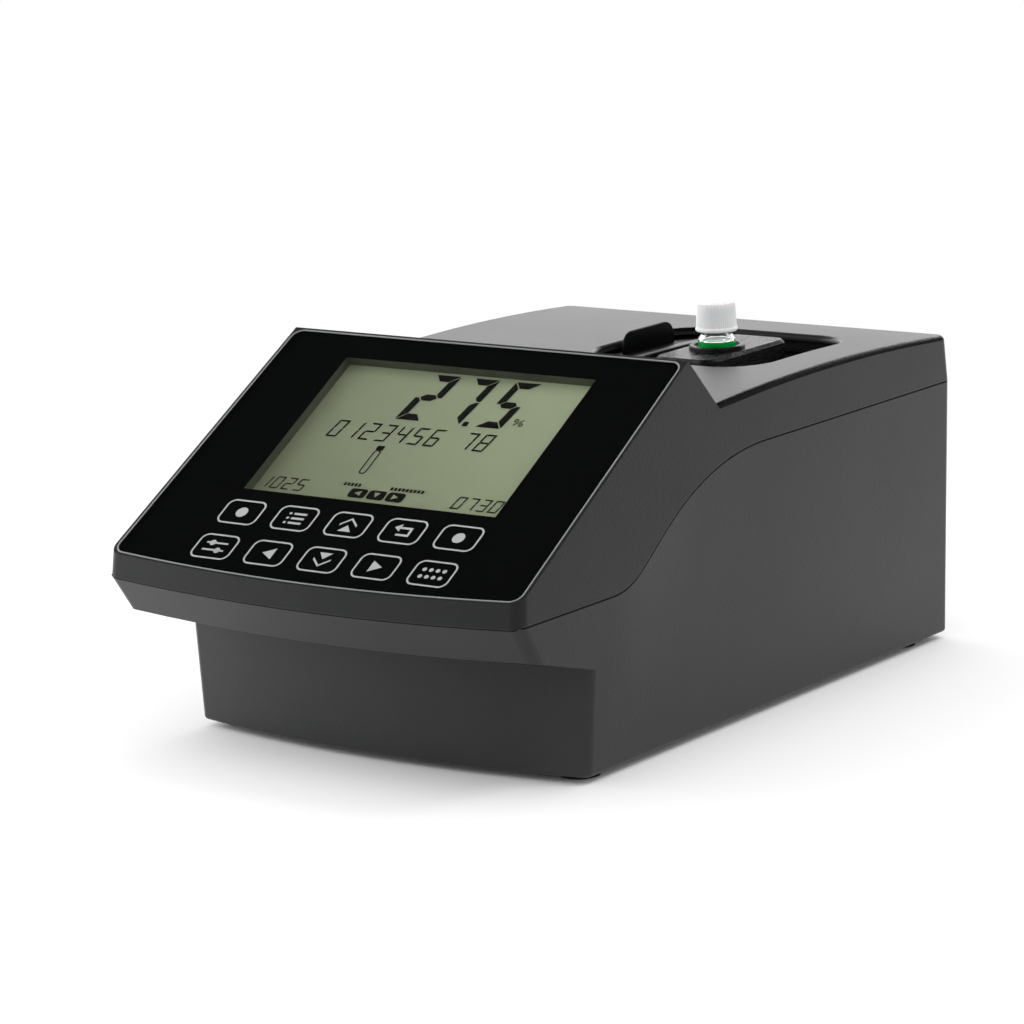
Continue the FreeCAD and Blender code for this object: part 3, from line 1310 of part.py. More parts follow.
def power_inlet():
    """Round inlet for the adapter plug, with its centre pin."""
    z = MAIN_BOARD_TOP_Z
    body = box(INLET_X - 4.5, INLET_X + 4.5, SOCKET_REAR_Y - 14, SOCKET_REAR_Y, z, z + 11)
    hole = bar(V(INLET_X, SOCKET_REAR_Y - 10, z + 6), V(INLET_X, SOCKET_REAR_Y + 1, z + 6), 6.4)
    pin = bar(V(INLET_X, SOCKET_REAR_Y - 11, z + 6), V(INLET_X, SOCKET_REAR_Y - 0.5, z + 6), 2.0)
    return body.cut(hole).fuse(pin)


def switch_frame():
    """Frame of the power switch, snapped into the rear wall."""
    half_x = SWITCH_WIDTH / 2
    half_z = SWITCH_HEIGHT / 2
    rear = REAR_Y - SWITCH_SET
    flange = box(SWITCH_X - half_x, SWITCH_X + half_x, rear, rear + SWITCH_RIM, SWITCH_Z - half_z,
                 SWITCH_Z + half_z)
    body = box(SWITCH_X - half_x + 1.1, SWITCH_X + half_x - 1.1, rear - 14, rear + 0.5,
               SWITCH_Z - half_z + 1.1, SWITCH_Z + half_z - 1.1)
    well = box(SWITCH_X - ROCKER_WIDTH / 2 - 0.4, SWITCH_X + ROCKER_WIDTH / 2 + 0.4, rear - 8, rear + 3,
               SWITCH_Z - ROCKER_HEIGHT / 2 - 0.7, SWITCH_Z + ROCKER_HEIGHT / 2 + 0.7)
    pivot = bar(V(SWITCH_X - half_x, SWITCH_AXIS_Y, SWITCH_Z), V(SWITCH_X + half_x, SWITCH_AXIS_Y, SWITCH_Z),
                ROCKER_PIN + 2 * SHAFT_CLEAR)
    keep = box(SWITCH_X - ROCKER_WIDTH / 2 - 1.4, SWITCH_X + ROCKER_WIDTH / 2 + 1.4, 0, REACH, 0, REACH)
    return flange.fuse(body).cut(well).cut(pivot.common(keep))


def switch_rocker():
    """Rocker of the power switch, with its pivot pins, tipped to one side."""
    half = ROCKER_HEIGHT / 2 - 0.4
    face = face_yz([(-3.0, -3.0), (3.0, -half), (1.6, 0), (3.0, half), (-3.0, 3.0)])
    rocker = across(face, ROCKER_WIDTH / 2)
    long_edges = edges_where(rocker, lambda middle, edge: middle.y > 2.9 and abs(middle.x) < 1)
    rocker = rocker.makeFillet(0.6, long_edges)
    pin_half = ROCKER_WIDTH / 2 + 1.2
    rocker = rocker.fuse(bar(V(-pin_half, 0, 0), V(pin_half, 0, 0), ROCKER_PIN))
    rocker.rotate(V(0, 0, 0), V(1, 0, 0), ROCKER_TILT)
    rocker.translate(V(SWITCH_X, SWITCH_AXIS_Y, SWITCH_Z))
    return rocker


def battery_pack():
    """Shrink-wrapped battery pack: three round cells side by side under one skin."""
    half_x = BATTERY_WIDTH / 2
    half_y = BATTERY_DEPTH / 2
    pack = box(BATTERY_X - half_x, BATTERY_X + half_x, BATTERY_Y - half_y, BATTERY_Y + half_y, BOTTOM_IN_Z,
               BATTERY_TOP_Z)
    long_edges = edges_where(pack, lambda middle, edge: edge.Length > BATTERY_WIDTH - 1)
    return pack.makeFillet((BATTERY_TOP_Z - BOTTOM_IN_Z) / 2 - 1, long_edges)


def battery_door():
    """Door under the battery, flush with the floor."""
    half_x, half_y = battery_hole(DOOR_CLEAR)
    return rounded_box(BATTERY_X - half_x, BATTERY_X + half_x, BATTERY_Y - half_y, BATTERY_Y + half_y,
                       FOOT_GAP, BOTTOM_IN_Z, DOOR_CORNER)


def lamp_door():
    """Door under the lamp, flush with the floor."""
    half = LAMP_DOOR / 2 - DOOR_CLEAR
    return rounded_box(LAMP_X - half, LAMP_X + half, LAMP_Y - half, LAMP_Y + half, FOOT_GAP, BOTTOM_IN_Z,
                       DOOR_CORNER)


def foot(x, y):
    """One soft foot, seated in the floor."""
    return cylinder(x, y, 0, FOOT_GAP + FOOT_SEAT, FOOT_OUTER)


def rounded_path(points, radius):
    """Edges of a path in the YZ plane with arcs at its corners."""
    corners = [V(0, y, z) for y, z in points]
    edges = []
    start = corners[0]
    for before, corner, after in zip(corners, corners[1:], corners[2:]):
        back = (before - corner).normalize()
        ahead = (after - corner).normalize()
        half = back.getAngle(ahead) / 2
        reach = radius / math.tan(half)
        first = corner + back * reach
        last = corner + ahead * reach
        middle = (back + ahead).normalize()
        crown = corner + middle * (radius / math.sin(half) - radius)
        edges.append(Part.makeLine(start, first))
        edges.append(Part.Arc(first, crown, last).toShape())
        start = last
    edges.append(Part.makeLine(start, corners[-1]))
    return edges


def ribbon_cable():
    """Flat ribbon from the display board down to the header on the main board."""
    depth = DISPLAY_BOARD_DEPTH + BOARD_THICK + RIBBON_THICK / 2
    start = along_panel(DISPLAY_BOARD_LOW + RIBBON_START, depth)
    header_y = MAIN_BOARD_FRONT_Y + HEADER_INSET + HEADER_DEPTH / 2
    run_z = BATTERY_TOP_Z + RIBBON_RISE
    route = [start, (start[0], run_z), (header_y, run_z), (header_y, MAIN_BOARD_TOP_Z + HEADER_HEIGHT)]
    spine = Part.Wire(rounded_path(route, RIBBON_BEND))
    strip = spine.makeOffset2D(RIBBON_THICK / 2, 0, False, True)
    other = spine.makeOffset2D(-RIBBON_THICK / 2, 0, False, True)
    ends_a = [strip.OrderedVertexes[0].Point, strip.OrderedVertexes[-1].Point]
    ends_b = [other.OrderedVertexes[0].Point, other.OrderedVertexes[-1].Point]
    if (ends_a[0] - ends_b[0]).Length > (ends_a[0] - ends_b[1]).Length:
        ends_b.reverse()
    caps = [Part.makeLine(a, b) for a, b in zip(ends_a, ends_b)]
    face = Part.Face(Part.Wire(Part.__sortEdges__(strip.Edges + other.Edges + caps)))
    return across(face, RIBBON_WIDTH / 2)


def compound(shapes):
    """Several separate solids in one piece group."""
    return Part.makeCompound(shapes)


def save(name, shape):
    """Write one named piece."""
    shape.exportStep(f"parts/{name}.step")


def build():
    """Make every piece and write it."""
    upper_form, lower_form = case_forms()
    upper_inner, lower_inner = case_halves(WALL)
    lens = lens_form()
    mount = mount_form()
    pieces = {
        "upper_cover": upper_cover(upper_form, upper_inner),
        "lower_shell": lower_shell(lower_form, lower_inner),
        "front_glass": on_panel(panel_outline(PANEL_RIM + PANEL_CLEAR, 0, GLASS_THICK, CONSOLE_CORNER)),
        "panel_print": panel_print(),
        "display_frame": display_frame(),
        "display": display(),
        "backlight": backlight(),
        "display_board": display_board(),
        "key_sensor": key_sensor(),
        "recess_tray": recess_tray(),
        "lid_rails": lid_rails(),
        "sample_lid": sample_lid(),
        "adapter_block": adapter_block(),
        "cell_well": cell_well(),
        "vial_glass": vial_glass(),
        "sample_liquid": sample_liquid(),
        "cap_liner": cap_liner(),
        "vial_cap": vial_cap(),
        "optical_bench": optical_bench(),
        "bench_screws": compound([bench_screw(x, y, BENCH_TOP_Z) for x, y in bench_post_places()]),
        "board_screws": compound([bench_screw(x, y, MAIN_BOARD_TOP_Z) for x, y in board_post_places()]),
        "case_screws": compound([case_screw(x, y) for x, y in case_screw_places()]),
        "lamp": lamp(),
        "lamp_socket": lamp_socket(),
        "lamp_shield": lamp_shield(),
        "condenser_lens": placed(lens, LAMP_X, CONDENSER_Y, BEAM_Z),
        "condenser_mount": placed(mount, LAMP_X, CONDENSER_Y, BEAM_Z),
        "focusing_lens": placed(lens, FOCUS_X, SAMPLE_Y, BEAM_Z, 90),
        "focusing_mount": placed(mount, FOCUS_X, SAMPLE_Y, BEAM_Z, 90),
        "filter_wheel": filter_wheel(),
        "order_filters": order_filters(),
        "wheel_bracket": wheel_bracket(),
        "wheel_motor": wheel_motor(),
        "entrance_slit": entrance_slit(),
        "turntable": turntable(),
        "grating": grating(),
        "grating_motor": grating_motor(),
        "beam_splitter": beam_splitter(),
        "splitter_post": splitter_post(),
        "reference_detector": detector(SPLITTER_X, REFERENCE_Y, 0),
        "sample_detector": detector(DETECTOR_X, SAMPLE_Y, -90),
        "main_board": main_board(),
        "board_chips": board_chips(),
        "usb_a_socket": usb_a_socket(),
        "usb_b_socket": usb_b_socket(),
        "power_inlet": power_inlet(),
        "switch_frame": switch_frame(),
        "switch_rocker": switch_rocker(),
        "battery_pack": battery_pack(),
        "battery_door": battery_door(),
        "lamp_door": lamp_door(),
        "rubber_feet": compound([foot(x, y) for x, y in foot_places()]),
        "ribbon_cable": ribbon_cable(),
    }
    for name, shape in pieces.items():
        save(name, shape)


os.makedirs("parts", exist_ok=True)
build()
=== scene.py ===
import json
import math

import bmesh
import bpy
from mathutils import Matrix, Vector


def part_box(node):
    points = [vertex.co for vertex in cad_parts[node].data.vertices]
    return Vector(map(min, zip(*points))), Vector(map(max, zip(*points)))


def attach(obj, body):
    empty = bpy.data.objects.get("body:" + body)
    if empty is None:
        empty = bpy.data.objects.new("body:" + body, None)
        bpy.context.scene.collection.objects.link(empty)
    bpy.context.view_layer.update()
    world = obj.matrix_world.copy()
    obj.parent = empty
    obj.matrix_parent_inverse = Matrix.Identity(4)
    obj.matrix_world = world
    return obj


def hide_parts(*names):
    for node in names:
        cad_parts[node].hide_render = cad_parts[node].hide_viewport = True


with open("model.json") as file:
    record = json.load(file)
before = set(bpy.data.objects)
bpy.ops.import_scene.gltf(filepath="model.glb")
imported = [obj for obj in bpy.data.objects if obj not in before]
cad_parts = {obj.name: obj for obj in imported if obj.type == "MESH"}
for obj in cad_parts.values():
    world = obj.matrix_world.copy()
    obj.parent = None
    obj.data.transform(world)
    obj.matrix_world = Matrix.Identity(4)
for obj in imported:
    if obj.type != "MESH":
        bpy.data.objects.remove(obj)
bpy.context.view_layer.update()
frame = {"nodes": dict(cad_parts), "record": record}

MM = 0.001
HOUSING = "housing"

# Camera, solved from the corners of the case in the photograph
CAMERA_AZIMUTH = 36.854
CAMERA_ELEVATION = 11.978
CAMERA_ROLL = -2.332
CAMERA_SIDE = -16.356
CAMERA_RISE = 75.878
CAMERA_DISTANCE = 1790.292
FOCAL_PIXELS = 4277.036
IMAGE_PIXELS = 1024
SENSOR = 36.0

# The sloping panel and the layers behind its glass
PANEL_TILT = math.radians(31.02)
GLASS_THICK = 2.0
GLASS_BACK = 143.7
DISPLAY_DEPTH = 6.2
INK_LIFT = 0.10
INK_THICK = 0.04
# Fine pale line round the panel glass, a painted highlight: its radius and how far it sinks below the top
# face
EDGE_BEAD = 0.45
EDGE_SINK = 0.25
GROUND_LIFT = 0.04
WINDOW_HALF = 63.0
WINDOW_RISE = (49.4, 130.9)

# Light of the surroundings, by the side that it comes from
LIGHT_SIDE = (-0.80, 0.35, 0.35)
SOFT_RANGE = (-0.8, 0.8)
SOFT_LEVELS = (0.95, 1.25)
MIRROR_RANGE = (0.2, 0.62)
MIRROR_LEVELS = (0.12, 1.27)
RISE_SPAN = (0.21, 0.38)
RISE_GAIN = 2.4
CEILING_SPAN = (0.40, 0.52)
CEILING_LEVEL = 0.008

# Floor, in metres
FLOOR_SIZE = 8.0
# Glow of the floor in what it lights and reflects, brighter towards the left: painted light
FLOOR_SIDE = (-0.8, 0.6, 0.0)
FLOOR_REACH = 0.6
FLOOR_RANGE = (-0.42, 0.27)
FLOOR_MIRROR = (0.28, 1.20)
FLOOR_FADE = (0.22, 0.62)
# Glow of the floor near the case: painted light that lightens the case's shadow on it
FLOOR_GLOW = 0.35
# Glow taken away under the case and faded back in over a few centimetres: a painted contact shadow round its
# foot
FOOTPRINT_HALF = 0.092
FOOTPRINT_FADE = (-0.01, 0.05)
NOSE_REACH = 0.036

# Soft lamps: place, side and power
LAMPS = [("edge_lamp", (1.0, 0.3, 1.35), 0.4, 5), ("left_lamp", (-1.6, -0.5, 0.5), 0.9, 15)]
LAMP_AIM = (0, 0, 0.05)

# Uneven tint and gloss of moulded surfaces, and relief of worked metal, in metres
TINT_PATCH = 0.04
GLOSS_PATCH = 0.05
GLOSS_SPREAD = 0.06
METAL_RELIEF = 0.00002

# How far a face looks sideways and up where the top edges of the sides are rounded and painted dark as shade
EDGE_SIDEWAYS = (0.16, 0.42)
EDGE_UPWARD = (0.12, 0.34)

# Touch keys printed on the panel
KEY_COLUMNS = [-54.5, -27.4, -0.4, 26.5, 53.6]
KEY_ROWS = [36.1, 15.8]
KEY_WIDTH = 19.7
KEY_HEIGHT = 13.8
KEY_CORNER = 3.7
KEY_STROKE = 0.8
CORNER_STEPS = 8

# Symbols on the keys, each about the centre of its key
DOT = 5.5
SYMBOL_STROKE = 1.1
CHEVRON_WIDTH = 8.5
CHEVRON_RISE = 3.6
SMALL_ARROW = (6.4, 3.6)
LARGE_ARROW = (6.2, 5.6)
LIST_PITCH = 2.6
LIST_DASHES = [(-4.2, -3.0), (-1.8, 4.6)]
RETURN_LINES = [((-3.0, 1.8), (4.0, 1.8)), ((3.5, 1.3), (3.5, -1.6)), ((-2.4, -2.1), (4.0, -2.1))]
RETURN_HEAD = (-3.4, 1.8)
SLIDER_HALF = 5.4
SLIDER_STROKE = 0.9
SLIDER_KNOBS = [(-2.4, 2.0), (2.2, -2.0)]
KNOB_RADIUS = 1.5
GRID_PITCH = 3.2
GRID_HALF = 1.9
GRID_DOT = 1.0

# Lid fin and lip, and the liquid
LID_FIN_FROM = 133.5
FIN_RUN = (67.6, 104.4)
FIN_HEIGHT = (131.6, 141.8)
FIN_SIDES = (-5.6, -3.4)
FIN_FRONT_ROUND = 7.0
FIN_REAR_ROUND = 6.2
FIN_ROUND = 0.55
FIN_STEPS = 8
FIN_SHARP = math.radians(40)
LIP_WIDTH = 6.0
LIP_HEIGHT = 0.8
LIP_STEPS = 8
WETTING = 0.15
VIAL_HEEL = 2.0
VIAL_FLOOR = 0.3
DISH = [(0.86, 0.45), (0.5, 0.7), (0.0, 0.75)]

# Liquid crystal picture, in panel millimetres
BIG_DIGITS = "275"
BIG_LEFTS = [-21.2, -1.7, 18.9]
BIG_WIDTH = 12.6
BIG_LOW = 101.8
BIG_HEIGHT = 27.6
BIG_STROKE = 3.7
BIG_SLANT = 0.16
POINT_LEFT = 13.9
POINT_RISE = 0.9
POINT_SIZE = 2.6
ROW_TEXT = "0123456 78"
ROW_LEFT = -48.2
ROW_LOW = 87.9
ROW_PITCH = 8.2
ROW_WIDTH = 5.4
ROW_HEIGHT = 10.2
ROW_STROKE = 0.9
ROW_SLANT = 0.18
CORNER_TEXTS = [("1025", -62.0), ("0730", 35.2)]
CORNER_LOW = 55.3
CORNER_PITCH = 6.0
CORNER_WIDTH = 4.2
CORNER_HEIGHT = 7.0
CORNER_STROKE = 0.65
BAR_GAP = 0.10
RATIO_DOTS = [(36.4, 107.4), (39.6, 105.2)]
RATIO_DOT = 1.0
RATIO_HOLE = 0.55
RATIO_BAR = [(36.0, 104.6), (40.0, 108.0)]
TUBE_PLACE = (-17.2, 75.8)
TUBE_SIZE = (3.6, 14.2)
TUBE_ROUND = 1.7
TUBE_WALL = 0.6
STOPPER_RISE = 8.4
STOPPER_HEIGHT = 2.6
TICK_ROWS = [(-21.4, 5, 1.8, 1.2), (2.0, 9, 1.9, 1.3)]
TICK_LEVEL = 62.3
TICK_HEIGHT = 1.7
ARROW_LEFT = -11.7
ARROW_PITCH = 9.4
ARROW_MIDDLE = 57.8
ARROW_BOX = (8.6, 5.2, 1.5)
ARROW_HEADS = [(2.8, 3.0, 2), (3.0, 2.6, 3), (2.8, 3.0, 0)]


def on_panel(x, s, depth=0.0):
    """Point of the row frame, in metres, from panel millimetres: across, up the slope, and down into it."""
    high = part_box("front_glass")[1] / MM
    back_y = high.y - GLASS_THICK * math.sin(PANEL_TILT)
    run = s - GLASS_BACK
    y = back_y + run * math.cos(PANEL_TILT) + depth * math.sin(PANEL_TILT)
    z = high.z + run * math.sin(PANEL_TILT) - depth * math.cos(PANEL_TILT)
    return Vector((x, y, z)) * MM


def make_camera():
    """Camera where the photograph was taken from."""
    azimuth = math.radians(CAMERA_AZIMUTH)
    elevation = math.radians(CAMERA_ELEVATION)
    roll = math.radians(CAMERA_ROLL)
    back = Vector((math.sin(azimuth) * math.cos(elevation), -math.cos(azimuth) * math.cos(elevation),
                   math.sin(elevation)))
    right = Vector((math.cos(azimuth), math.sin(azimuth), 0))
    up = back.cross(right)
    across = right * math.cos(roll) + up * math.sin(roll)
    rise = up * math.cos(roll) - right * math.sin(roll)
    data = bpy.data.cameras.new("camera")
    data.sensor_width = SENSOR
    data.lens = FOCAL_PIXELS / IMAGE_PIXELS * SENSOR
    data.clip_end = 50
    camera = bpy.data.objects.new("camera", data)
    place = back * CAMERA_DISTANCE + across * CAMERA_SIDE + rise * CAMERA_RISE
    turn = Matrix((across, rise, back)).transposed().to_4x4()
    camera.matrix_world = Matrix.Translation(place * MM) @ turn
    bpy.context.scene.collection.objects.link(camera)
    bpy.context.scene.camera = camera


# Node helpers

def new_group(name, inputs, outputs):
    """Empty shader group with named inputs and outputs; returns it with its two end nodes."""
    group = bpy.data.node_groups.new(name, "ShaderNodeTree")
    for label, kind, value in inputs:
        socket = group.interface.new_socket(label, in_out="INPUT", socket_type=kind)
        socket.default_value = value
    for label, kind in outputs:
        group.interface.new_socket(label, in_out="OUTPUT", socket_type=kind)
    start = group.nodes.new("NodeGroupInput")
    end = group.nodes.new("NodeGroupOutput")
    return group, start, end


def add(tree, kind, **settings):
    """A node with its settings and the plain values of its sockets."""
    node = tree.nodes.new(kind)
    for label, value in settings.items():
        if hasattr(node, label):
            setattr(node, label, value)
        else:
            node.inputs[label.replace("_", " ")].default_value = value
    return node


def link(tree, source, target):
    """One wire."""
    tree.links.new(source, target)


def feed(tree, socket, value):
    """Give a socket a plain value, or a wire from another socket."""
    if isinstance(value, bpy.types.NodeSocket):
        link(tree, value, socket)
    else:
        socket.default_value = value


def calc(tree, operation, *values, **settings):
    """Result of a sum of sockets and plain values."""
    node = add(tree, "ShaderNodeMath", operation=operation, **settings)
    for socket, value in zip(node.inputs, values):
        feed(tree, socket, value)
    return node.outputs[0]


def ramp(tree, value, span, low=0.0, high=1.0, kind="LINEAR"):
    """Value carried from a span over to the range from low to high."""
    node = add(tree, "ShaderNodeMapRange", interpolation_type=kind)
    for label, number in zip(("From Min", "From Max", "To Min", "To Max"), (*span, low, high)):
        feed(tree, node.inputs[label], number)
    link(tree, value, node.inputs["Value"])
    return node.outputs["Result"]


def mixed(tree, kind, factor, one, other):
    """Two colours or two numbers blended by a factor."""
    node = add(tree, "ShaderNodeMix", data_type=kind)
    first, result = (6, 2) if kind == "RGBA" else (2, 0)
    link(tree, factor, node.inputs[0])
    feed(tree, node.inputs[first], one)
    feed(tree, node.inputs[first + 1], other)
    return node.outputs[result]


def split(tree, vector):
    """Parts of a vector along X, Y and Z."""
    node = add(tree, "ShaderNodeSeparateXYZ")
    link(tree, vector, node.inputs[0])
    return node.outputs


def along(tree, place, direction):
    """Distance of a place along a direction."""
    node = add(tree, "ShaderNodeVectorMath", operation="DOT_PRODUCT")
    link(tree, place, node.inputs[0])
    node.inputs[1].default_value = direction
    return node.outputs["Value"]


def noise(tree, place, scale, detail, rough):
    """Cloudy pattern over a place."""
    node = add(tree, "ShaderNodeTexNoise", Detail=detail, Roughness=rough)
    link(tree, place, node.inputs["Vector"])
    feed(tree, node.inputs["Scale"], scale)
    return node.outputs["Fac"]


def object_place(tree):
    """Place on the object, in metres."""
    return add(tree, "ShaderNodeTexCoord").outputs["Object"]


FLOAT = "NodeSocketFloat"
COLOUR = "NodeSocketColor"


def grain_group():
    """Fine moulded or cast grain: height for the bump and a slow mask for gloss."""
    group, start, end = new_group(
        "surface_grain",
        [("Grain Size", FLOAT, 0.0006), ("Patch Size", FLOAT, 0.05), ("Gloss", FLOAT, 0.45),
         ("Spread", FLOAT, 0.06)],
        [("Height", FLOAT), ("Roughness", FLOAT)])
    place = object_place(group)
    fine = noise(group, place, calc(group, "DIVIDE", 1.0, start.outputs["Grain Size"]), 3.0, 0.6)
    slow = noise(group, place, calc(group, "DIVIDE", 1.0, start.outputs["Patch Size"]), 4.0, 0.55)
    centred = calc(group, "SUBTRACT", slow, 0.5)
    rough = calc(group, "MULTIPLY_ADD", centred, start.outputs["Spread"], start.outputs["Gloss"])
    link(group, fine, end.inputs["Height"])
    link(group, rough, end.inputs["Roughness"])
    return group


def tint_group():
    """Two close colours drifting into each other over the surface."""
    group, start, end = new_group(
        "tint_drift",
        [("Colour", COLOUR, (0.5, 0.5, 0.5, 1)), ("Other Colour", COLOUR, (0.6, 0.6, 0.6, 1)),
         ("Patch Size", FLOAT, 0.03)],
        [("Colour", COLOUR)])
    scale = calc(group, "DIVIDE", 1.0, start.outputs["Patch Size"])
    spread = ramp(group, noise(group, object_place(group), scale, 5.0, 0.6), (0.3, 0.7))
    colour = mixed(group, "RGBA", spread, start.outputs["Colour"], start.outputs["Other Colour"])
    link(group, colour, end.inputs["Colour"])
    return group


def streak_group():
    """Fine lines along one direction, as brushing, turning or layers leave them."""
    group, start, end = new_group(
        "fine_streaks",
        [("Across", "NodeSocketVector", (1, 1, 1)), ("Gloss", FLOAT, 0.3), ("Spread", FLOAT, 0.2)],
        [("Height", FLOAT), ("Roughness", FLOAT)])
    stretch = add(group, "ShaderNodeVectorMath", operation="MULTIPLY")
    link(group, object_place(group), stretch.inputs[0])
    link(group, start.outputs["Across"], stretch.inputs[1])
    lines = noise(group, stretch.outputs[0], 1.0, 4.0, 0.7)
    centred = calc(group, "SUBTRACT", lines, 0.5)
    rough = calc(group, "MULTIPLY_ADD", centred, start.outputs["Spread"], start.outputs["Gloss"])
    link(group, lines, end.inputs["Height"])
    link(group, rough, end.inputs["Roughness"])
    return group


GRAIN = grain_group()
TINT = tint_group()
STREAKS = streak_group()


def use(tree, group, **values):
    """A shared group placed in a material with its own values."""
    node = tree.nodes.new("ShaderNodeGroup")
    node.node_tree = group
    for label, value in values.items():
        node.inputs[label.replace("_", " ")].default_value = value
    return node


def rgba(colour):
    """Colour with full alpha."""
    return (*colour, 1.0)


def blank(name):
    """A material with its Principled shader and nothing wired to it yet."""
    material = bpy.data.materials.new(name)
    material.use_nodes = True
    tree = material.node_tree
    return material, tree, tree.nodes["Principled BSDF"]


def bump(tree, height, strength, distance):
    """Bump node fed by a height."""
    node = add(tree, "ShaderNodeBump", Strength=strength, Distance=distance)
    link(tree, height, node.inputs["Height"])
    return node


def wire(tree, shader, colour, rough, relief):
    """Wire the colour, the roughness and the relief of a material."""
    link(tree, colour, shader.inputs["Base Color"])
    link(tree, rough, shader.inputs["Roughness"])
    link(tree, relief.outputs["Normal"], shader.inputs["Normal"])


def moulded(name, colour, other, gloss, grain=0.0006, depth=0.00004):
    """Moulded plastic or rubber: drifting tint, fine grain and uneven gloss."""
    material, tree, shader = blank(name)
    tint = use(tree, TINT, Colour=rgba(colour), Other_Colour=rgba(other), Patch_Size=TINT_PATCH)
    skin = use(tree, GRAIN, Grain_Size=grain, Patch_Size=GLOSS_PATCH, Gloss=gloss, Spread=GLOSS_SPREAD)
    relief = bump(tree, skin.outputs["Height"], 0.5, depth)
    wire(tree, shader, tint.outputs["Colour"], skin.outputs["Roughness"], relief)
    return material


def worked_metal(name, colour, other, gloss, across):
    """Milled, brushed or drawn metal, with its lines along one direction."""
    material, tree, shader = blank(name)
    tint = use(tree, TINT, Colour=rgba(colour), Other_Colour=rgba(other), Patch_Size=0.02)
    lines = use(tree, STREAKS, Across=across, Gloss=gloss, Spread=0.25)
    relief = bump(tree, lines.outputs["Height"], 0.5, METAL_RELIEF)
    shader.inputs["Metallic"].default_value = 1.0
    wire(tree, shader, tint.outputs["Colour"], lines.outputs["Roughness"], relief)
    return material


def clear(name, colour, gloss=0.02, ior=1.5):
    """Glass or clear plastic that lets light fall on what is behind it."""
    material, tree, shader = blank(name)
    shader.inputs["Base Color"].default_value = rgba(colour)
    shader.inputs["IOR"].default_value = ior
    shader.inputs["Transmission Weight"].default_value = 1.0
    skin = use(tree, GRAIN, Grain_Size=0.004, Patch_Size=0.03, Gloss=gloss, Spread=0.02)
    link(tree, skin.outputs["Roughness"], shader.inputs["Roughness"])
    see_through = add(tree, "ShaderNodeBsdfTransparent", Color=rgba(colour))
    path = add(tree, "ShaderNodeLightPath")
    mix = add(tree, "ShaderNodeMixShader")
    link(tree, path.outputs["Is Shadow Ray"], mix.inputs["Fac"])
    link(tree, shader.outputs["BSDF"], mix.inputs[1])
    link(tree, see_through.outputs["BSDF"], mix.inputs[2])
    link(tree, mix.outputs["Shader"], tree.nodes["Material Output"].inputs["Surface"])
    return material


def display_face(name):
    """Grey-green reflecting display, painted a little lighter towards the right and the top as light would
    fall on it.
    """
    material, tree, shader = blank(name)
    low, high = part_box("display")
    # Painted light: the colour ramps from darker at the lower left to lighter at the upper right
    lighter = Vector((1, 0, 1.8))
    painted_shading = ramp(tree, along(tree, object_place(tree), lighter), (lighter.dot(low), lighter.dot(high)))
    colour = mixed(tree, "RGBA", painted_shading, rgba((0.162, 0.178, 0.114)), rgba((0.335, 0.376, 0.242)))
    skin = use(tree, GRAIN, Grain_Size=0.0004, Patch_Size=0.03, Gloss=0.5, Spread=0.05)
    relief = bump(tree, skin.outputs["Height"], 0.2, 0.00001)
    shader.inputs["Specular IOR Level"].default_value = 0.1
    wire(tree, shader, colour, skin.outputs["Roughness"], relief)
    return material


def edge_shade_group():
    """Mask of the rounded edges that run along the top of the sides, where the case gets painted shade."""
    group, start, end = new_group("rounded_edges_painted_shade", [("Sharpness", FLOAT, 1.0)], [("Mask", FLOAT)])
    facing = split(group, add(group, "ShaderNodeNewGeometry").outputs["Normal"])
    sideways = ramp(group, calc(group, "ABSOLUTE", facing["X"]), EDGE_SIDEWAYS, kind="SMOOTHSTEP")
    upward = ramp(group, facing["Z"], EDGE_UPWARD, kind="SMOOTHSTEP")
    both = calc(group, "MULTIPLY", sideways, upward)
    mask = calc(group, "MULTIPLY", both, start.outputs["Sharpness"], use_clamp=True)
    link(group, mask, end.inputs["Mask"])
    return group


EDGE_SHADE = edge_shade_group()


def case_plastic(name):
    """Dark grey satin plastic of the case, smoother where its top edges are rounded and painted near-black
    there as shade.
    """
    material, tree, shader = blank(name)
    tint = use(tree, TINT, Colour=rgba((0.0155, 0.0163, 0.0161)), Other_Colour=rgba((0.0195, 0.0203, 0.0201)),
               Patch_Size=TINT_PATCH)
    skin = use(tree, GRAIN, Grain_Size=0.0008, Patch_Size=GLOSS_PATCH, Gloss=0.33, Spread=GLOSS_SPREAD)
    edge = use(tree, EDGE_SHADE, Sharpness=1.0).outputs["Mask"]
    # Painted shade: the rounded top edges take a near-black colour
    dark = mixed(tree, "RGBA", edge, tint.outputs["Colour"], rgba((0.0030, 0.0031, 0.0032)))
    smooth = mixed(tree, "FLOAT", edge, skin.outputs["Roughness"], 0.14)
    relief = bump(tree, skin.outputs["Height"], 0.6, 0.00017)
    soft_edges = add(tree, "ShaderNodeBevel", samples=6, Radius=0.6 * MM)
    link(tree, soft_edges.outputs["Normal"], relief.inputs["Normal"])
    shader.inputs["Specular IOR Level"].default_value = 0.38
    wire(tree, shader, dark, smooth, relief)
    return material


def bonded_ink(name, colour, other):
    """Ink printed on the back of the glass, so that it has no gloss of its own."""
    material = moulded(name, colour, other, 0.6, depth=0.000005)
    material.node_tree.nodes["Principled BSDF"].inputs["Specular IOR Level"].default_value = 0.0
    return material


def black_plastic(name):
    """Near-black satin plastic."""
    return moulded(name, (0.008, 0.008, 0.009), (0.011, 0.011, 0.012), 0.34)


def adapter_plastic(name):
    """Black machined block whose sides show fine streaks."""
    material, tree, shader = blank(name)
    tint = use(tree, TINT, Colour=rgba((0.003, 0.003, 0.0035)), Other_Colour=rgba((0.009, 0.009, 0.010)),
               Patch_Size=0.006)
    lines = use(tree, STREAKS, Across=(1800, 110, 2600), Gloss=0.24, Spread=0.9)
    relief = bump(tree, lines.outputs["Height"], 0.8, 0.0005)
    wire(tree, shader, tint.outputs["Colour"], lines.outputs["Roughness"], relief)
    return material


